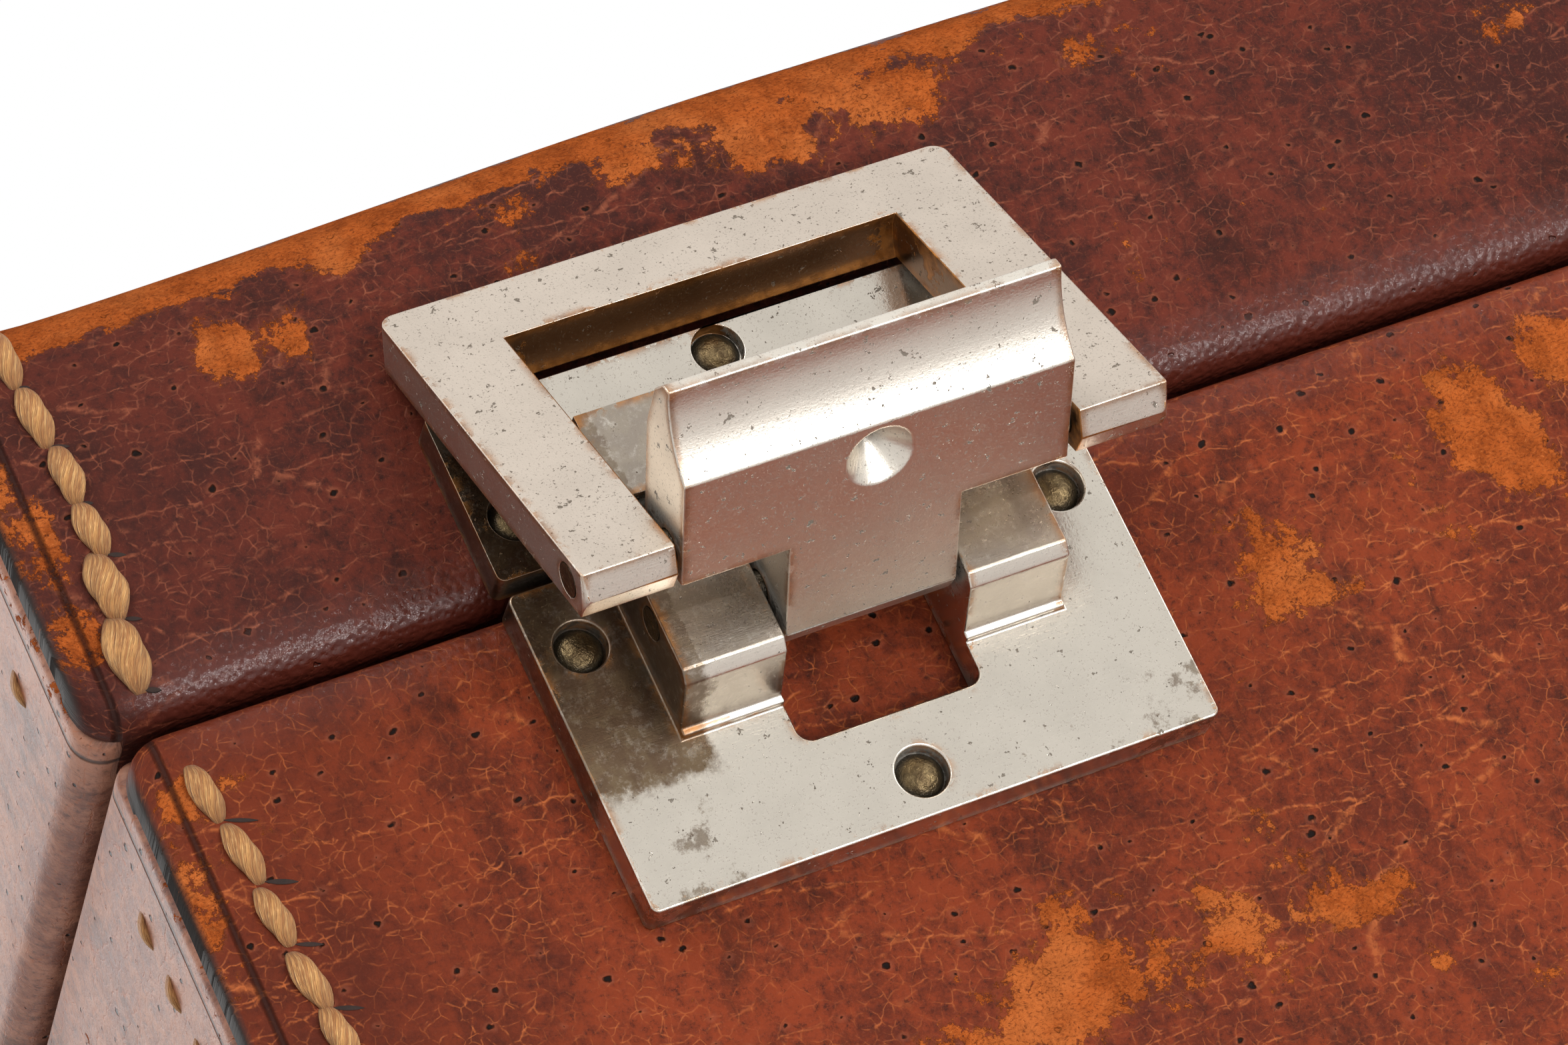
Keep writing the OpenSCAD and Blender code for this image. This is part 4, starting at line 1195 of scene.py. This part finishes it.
def slab(name, body, low, high, crown, seams, replaced):
    """A padded pad or divider: thickest between its seams, rounded off all round its edge."""
    size = [high[i] - low[i] for i in range(3)]
    thin = size.index(min(size))
    first, second = [i for i in range(3) if i != thin]
    spans = (size[first], size[second])
    counts = [max(12, int(span / 3.0)) for span in spans]
    rounding = 0.5 * size[thin]

    def stations(span, count):
        """Places across the pad, closer together where its edge is rounded."""
        edge = [0, 0.12 * rounding, 0.4 * rounding, rounding, 1.8 * rounding]
        inner = list(np.linspace(1.8 * rounding, span - 1.8 * rounding, count))[1:-1]
        return np.array(edge + inner + [span - e for e in reversed(edge)])

    u, v = stations(spans[0], counts[0]), stations(spans[1], counts[1])
    grid_u, grid_v = np.meshgrid(u, v, indexing="ij")

    def pull(distance):
        """How much of the thickness is left at a distance from the edge."""
        d = np.clip(distance, 0, rounding)
        return np.sqrt(np.clip(1 - (1 - d / rounding) ** 2, 0, 1))

    edge = pull(np.minimum(grid_u, spans[0] - grid_u)) * pull(np.minimum(grid_v, spans[1] - grid_v))
    thick = 0.5 * size[thin] * (0.12 + 0.88 * edge)
    dent = 0 * thick
    for axis, grid in ((0, grid_u), (1, grid_v)):
        pitch = seams[axis]
        if pitch:
            count = max(1, round(spans[axis] / pitch))
            phase = grid / spans[axis] * count
            near = np.abs(phase - np.round(phase)) * spans[axis] / count
            dent = np.maximum(dent, smooth(1 - near / 3.0))
    bulge = crown * edge * (1 - dent)
    thick = thick * (1 - 0.35 * dent * edge) + bulge
    centre = 0.5 * (low[thin] + high[thin])
    outer = np.zeros((*grid_u.shape, 3))
    outer[:, :, first] = low[first] + grid_u
    outer[:, :, second] = low[second] + grid_v
    inner = outer.copy()
    outer[:, :, thin] = centre + thick
    inner[:, :, thin] = centre - thick
    bm = bmesh.new()
    uv = np.stack([grid_u, grid_v], axis=2)
    sheet(bm, outer, inner, uv, {"wear": dent}, ("wear",))
    piece = make_piece(name, bm, body, [LINING], replaced)
    return piece


def rounded_ring(half_x, half_y, radius, z):
    """Points round a rectangle with rounded corners."""
    points = []
    for turn, (sx, sy) in enumerate(((1, 1), (-1, 1), (-1, -1), (1, -1))):
        for step in range(7):
            a = math.radians(90 * turn + 15 * step)
            points.append((sx * (half_x - radius) + radius * math.cos(a),
                           sy * (half_y - radius) + radius * math.sin(a), z))
    return points


def band(name, body, outside, section, replaced, closed):
    """A lining round the inside: section holds (distance in, corner radius, height) in order."""
    bm = bmesh.new()
    rings = []
    for inset, radius, height in section:
        ring = rounded_ring(outside.x - inset, outside.y - inset, radius, height)
        rings.append([bm.verts.new(p) for p in ring])
    loft(bm, rings, closed=closed)
    bmesh.ops.recalc_face_normals(bm, faces=bm.faces)
    return make_piece(name, bm, body, [LINING], replaced)


LINING_T = 1.2
LIP_T = 1.6
LID_LINING_T = 0.7


def make_linings():
    """The velvet of body, lip and lid: sections of (distance in, corner radius, height)."""
    low, high, t = lining_low.z, lining_high.z, LINING_T
    section = [(0.4, 1.0, low), (0, 1.4, low + 0.4), (0, 1.4, high - 0.3), (0.3, 1.3, high),
               (t - 0.3, 1.3, high), (t, 1.4, high - 0.3), (t, 1.4, low + t + 0.8),
               (t + 0.8, 1.0, low + t)]
    band("body_velvet", "body", lining_high, section, ["body_lining"], False)
    low, high, t = lip_low.z, lip_high.z, LIP_T
    profile = [(0.15, low), (0, low + 0.4), (0, high - 0.8), (0.25, high - 0.22), (0.8, high),
               (t - 0.25, high - 0.22), (t, high - 0.8), (t, low + 0.5), (t - 0.35, low)]
    section = [(inset, 3.0, height) for inset, height in profile]
    band("body_lip_velvet", "body", lip_high, section, ["body_lip"], True)
    lid_lining_low, lid_lining_high = corners("lid_lining")
    low, high, t = lid_lining_low.z, lid_lining_high.z, LID_LINING_T
    section = [(0.3, 1.0, high), (0, 1.2, high - 0.3), (0, 1.2, low + 0.2), (0.2, 1.2, low),
               (t - 0.2, 1.2, low), (t, 1.2, low + 0.2), (t, 1.2, high - t - 0.8),
               (t + 0.8, 1.0, high - t)]
    band("lid_velvet", "lid", lid_lining_high, section, ["lid_lining"], False)


def make_pads():
    """The padded floor and dividers."""
    slab("floor_cushion", "body", pad_low, pad_high, 0.35, (46, 43), ["floor_pad"])
    for name in ("main_divider", "side_divider", "small_divider"):
        low, high = corners(name)
        slab(name + "_padded", "body", low, high, 0.5, (0, 32), [name])


GRIP_HALF_W = 8.0
GRIP_HALF_H = 6.0
GRIP_BEND = 18.0
GRIP_SQUARENESS = 0.85
GRIP_SEAM_LEAN = 0.42
GRIP_PITCH = 3.3
GRIP_ROW_START = 6.0
GRIP_STEP = 3.0
GRIP_SEED = 3


def handle_path(step):
    """Points and sideways directions along the grip's U, from the left leg to the right."""
    low, high = corners("handle_grip")
    level = 0.5 * (low.z + high.z)
    leg = high.x - GRIP_HALF_W
    reach = high.y - GRIP_HALF_W
    straight = reach - GRIP_BEND - low.y
    middle = leg - GRIP_BEND
    points = []
    for t in np.linspace(0, 1, 4, endpoint=False):
        points.append(((-leg, low.y + straight * t, level), (-1, 0, 0)))

    def bend(centre_x, start, end):
        """Adds a quarter turn, angles in degrees."""
        for a in np.radians(np.linspace(start, end, 15)):
            outward = (math.cos(a), math.sin(a), 0)
            y = reach - GRIP_BEND + GRIP_BEND * outward[1]
            points.append(((centre_x + GRIP_BEND * outward[0], y, level), outward))

    bend(-middle, 180, 90)
    points += [((x, reach, level), (0, 1, 0)) for x in np.arange(-middle + step, middle, step)]
    bend(middle, 90, 0)
    points += [((leg, low.y + straight * t, level), (1, 0, 0)) for t in np.linspace(1, 0, 5)[1:]]
    return [(Vector(p), Vector(d)) for p, d in points]


def make_grip(path, travel):
    """The hide round the handle's core."""
    around = 40
    total = travel[-1]
    bm = bmesh.new()
    bm.loops.layers.uv.new("hide")
    layers = {name: bm.verts.layers.float.new(name) for name in ("wear", "polish", "raw", "inset")}
    up = Vector((0, 0, 1))
    rings = []
    for (centre, outward), s in zip(path, travel):
        end = smooth(min(s, total - s) / 5)
        swell = 0.86 + 0.14 * math.sin(math.pi * s / total) * end - 0.10 * (1 - end)
        ring = []
        for j in range(around):
            a = 2 * math.pi * j / around
            c, w = math.cos(a), math.sin(a)
            far = GRIP_HALF_W * math.copysign(abs(c) ** GRIP_SQUARENESS, c)
            tall = GRIP_HALF_H * math.copysign(abs(w) ** GRIP_SQUARENESS, w)
            vert = bm.verts.new(centre + (outward * far + up * tall) * swell)
            seam_side = math.exp(-((a if a < math.pi else a - 2 * math.pi) / 0.35) ** 2)
            vert[layers["wear"]] = 0.35 * seam_side + 0.25 * (1 - end)
            vert[layers["polish"]] = 0.25
            vert[layers["raw"]] = 0.0 if 0.4 < s < total - 0.4 else 0.8
            vert[layers["inset"]] = 9.0
            ring.append(vert)
        rings.append(ring)
    loft(bm, rings, lambda i, j: ((travel[i] + 900) / HIDE_UNIT, j * 1.1 / HIDE_UNIT))
    bmesh.ops.recalc_face_normals(bm, faces=bm.faces)
    make_piece("grip_hide", bm, "handle", [GRIP_HIDE], ["handle_grip"])


def make_grip_stitching(path, travel):
    """Two rows of thread beside the seam round the grip's outside."""
    total = travel[-1]
    thread = thread_mesh()
    up = Vector((0, 0, 1))
    rng = random.Random(GRIP_SEED)
    s = GRIP_ROW_START
    while s < total - GRIP_ROW_START:
        i = max(k for k in range(len(travel)) if travel[k] <= s)
        share = (s - travel[i]) / max(travel[i + 1] - travel[i], 1e-6)
        centre = path[i][0].lerp(path[i + 1][0], share)
        outward = path[i][1].lerp(path[i + 1][1], share).normalized()
        ahead = (path[i + 1][0] - path[i][0]).normalized()
        end = smooth(min(s, total - s) / 5)
        swell = 0.86 + 0.14 * math.sin(math.pi * s / total) * end
        for side in (-1, 1):
            a = side * GRIP_SEAM_LEAN
            far = outward * GRIP_HALF_W * math.cos(a) ** GRIP_SQUARENESS
            tall = up * side * GRIP_HALF_H * abs(math.sin(a)) ** GRIP_SQUARENESS
            spot = centre + (far + tall) * swell
            normal = (outward * math.cos(a) * 0.75 + up * math.sin(a)).normalized()
            twist = rng.uniform(1.2, 1.8)
            stitch(thread, spot - normal * 0.12, ahead, normal, FINE_LENGTH, FINE_WIDTH, 0.6, twist)
        s += GRIP_PITCH
    make_piece("grip_stitching", thread, "handle", [LINEN])


def make_handle():
    """The grip's hide and its sewing."""
    path = handle_path(GRIP_STEP)
    travel = [0.0]
    for (here, _), (there, _) in zip(path, path[1:]):
        travel.append(travel[-1] + (there - here).length)
    make_grip(path, travel)
    make_grip_stitching(path, travel)


# Camera, fitted to the latch: its place from the middle of the left body plate's foot, and its axes
CAMERA_FROM_LATCH = Vector((-145.4, -370.6, -118.2))
VIEW_RIGHT = Vector((0.89112, -0.19183, -0.41122))
VIEW_DOWN = Vector((-0.29788, 0.43634, -0.84905))
VIEW_AHEAD = Vector((0.34230, 0.87910, 0.33169))
PHOTO_WIDTH = 2352
FOCAL_PIXELS = 10000
SENSOR = 36.0


def make_camera():
    """A camera at the photograph's angle and distance."""
    camera = bpy.data.objects.new("camera", bpy.data.cameras.new("camera"))
    bpy.context.scene.collection.objects.link(camera)
    place = (Vector((latch_x, plate_y, latch_z)) + CAMERA_FROM_LATCH) * MM
    turn = Matrix((VIEW_RIGHT, -VIEW_DOWN, -VIEW_AHEAD)).transposed().to_4x4()
    camera.matrix_world = Matrix.Translation(place) @ turn
    camera.data.sensor_width = SENSOR
    camera.data.lens = FOCAL_PIXELS / PHOTO_WIDTH * SENSOR
    camera.data.clip_start = 0.01
    camera.data.clip_end = 50
    bpy.context.scene.camera = camera


# Area lamps: name, place, target, width and height in metres, and power in watts
LAMPS = (
    ("key", (-0.55, -0.95, 1.15), (-0.08, -0.05, 0.15), 0.6, 0.6, 9.5),
    ("low_strip", (0.24, -1.0, 0.07), (-0.09, -0.07, 0.18), 0.5, 0.03, 2.4),
    ("floor_strip", (-0.03, -0.36, 0.012), (-0.10, -0.07, 0.18), 0.24, 0.012, 0.42),
    ("back", (-0.8, 0.9, 0.9), (-0.1, 0.0, 0.15), 0.9, 0.9, 6),
    ("side", (1.0, -0.6, 0.5), (0, 0, 0.12), 0.8, 0.8, 3),
)
AMBIENT = 0.38
FLOOR_GREY = (0.86, 0.86, 0.86)


def area_light(name, place, target, width, height, power):
    """A rectangular lamp turned to its target, unseen by the camera."""
    data = bpy.data.lights.new(name, "AREA")
    data.shape = "RECTANGLE"
    data.size = width
    data.size_y = height
    data.energy = power
    lamp = bpy.data.objects.new(name, data)
    bpy.context.scene.collection.objects.link(lamp)
    lamp.location = place
    lamp.rotation_mode = "QUATERNION"
    lamp.rotation_quaternion = (Vector(target) - Vector(place)).to_track_quat("-Z", "Y")
    lamp.visible_camera = False


def make_world():
    """Soft light all round, with a white backdrop for the camera and for reflections."""
    world = bpy.data.worlds.new("studio")
    bpy.context.scene.world = world
    world.use_nodes = True
    w = Nodes(world.node_tree)
    rays = w.add("ShaderNodeLightPath").outputs
    backdrop = w.calc("MAXIMUM", rays["Is Glossy Ray"], rays["Is Transmission Ray"])
    backdrop = w.calc("MAXIMUM", rays["Is Camera Ray"], backdrop)
    strength = w.add("ShaderNodeMapRange")
    w.put(strength.inputs["Value"], backdrop)
    w.put(strength.inputs["To Min"], AMBIENT)
    w.put(strength.inputs["To Max"], 1.0)
    background = w.tree.nodes["Background"]
    w.put(background.inputs["Strength"], strength.outputs["Result"])
    w.put(background.inputs["Color"], (1, 1, 1, 1))


def make_studio():
    """A pale floor, soft light and plain colours."""
    bpy.context.scene.view_settings.view_transform = "Standard"
    make_world()
    bpy.ops.mesh.primitive_plane_add(size=8, location=(0, 0, 0))
    floor = bpy.context.object
    floor.name = "floor"
    floor.data.materials.append(Shader("floor").finish(Base_Color=FLOOR_GREY, Roughness=0.7))
    for lamp in LAMPS:
        area_light(*lamp)


make_camera()
make_studio()
make_leather()
make_latches()
make_stitching()
make_linings()
make_pads()
make_handle()
make_fittings()
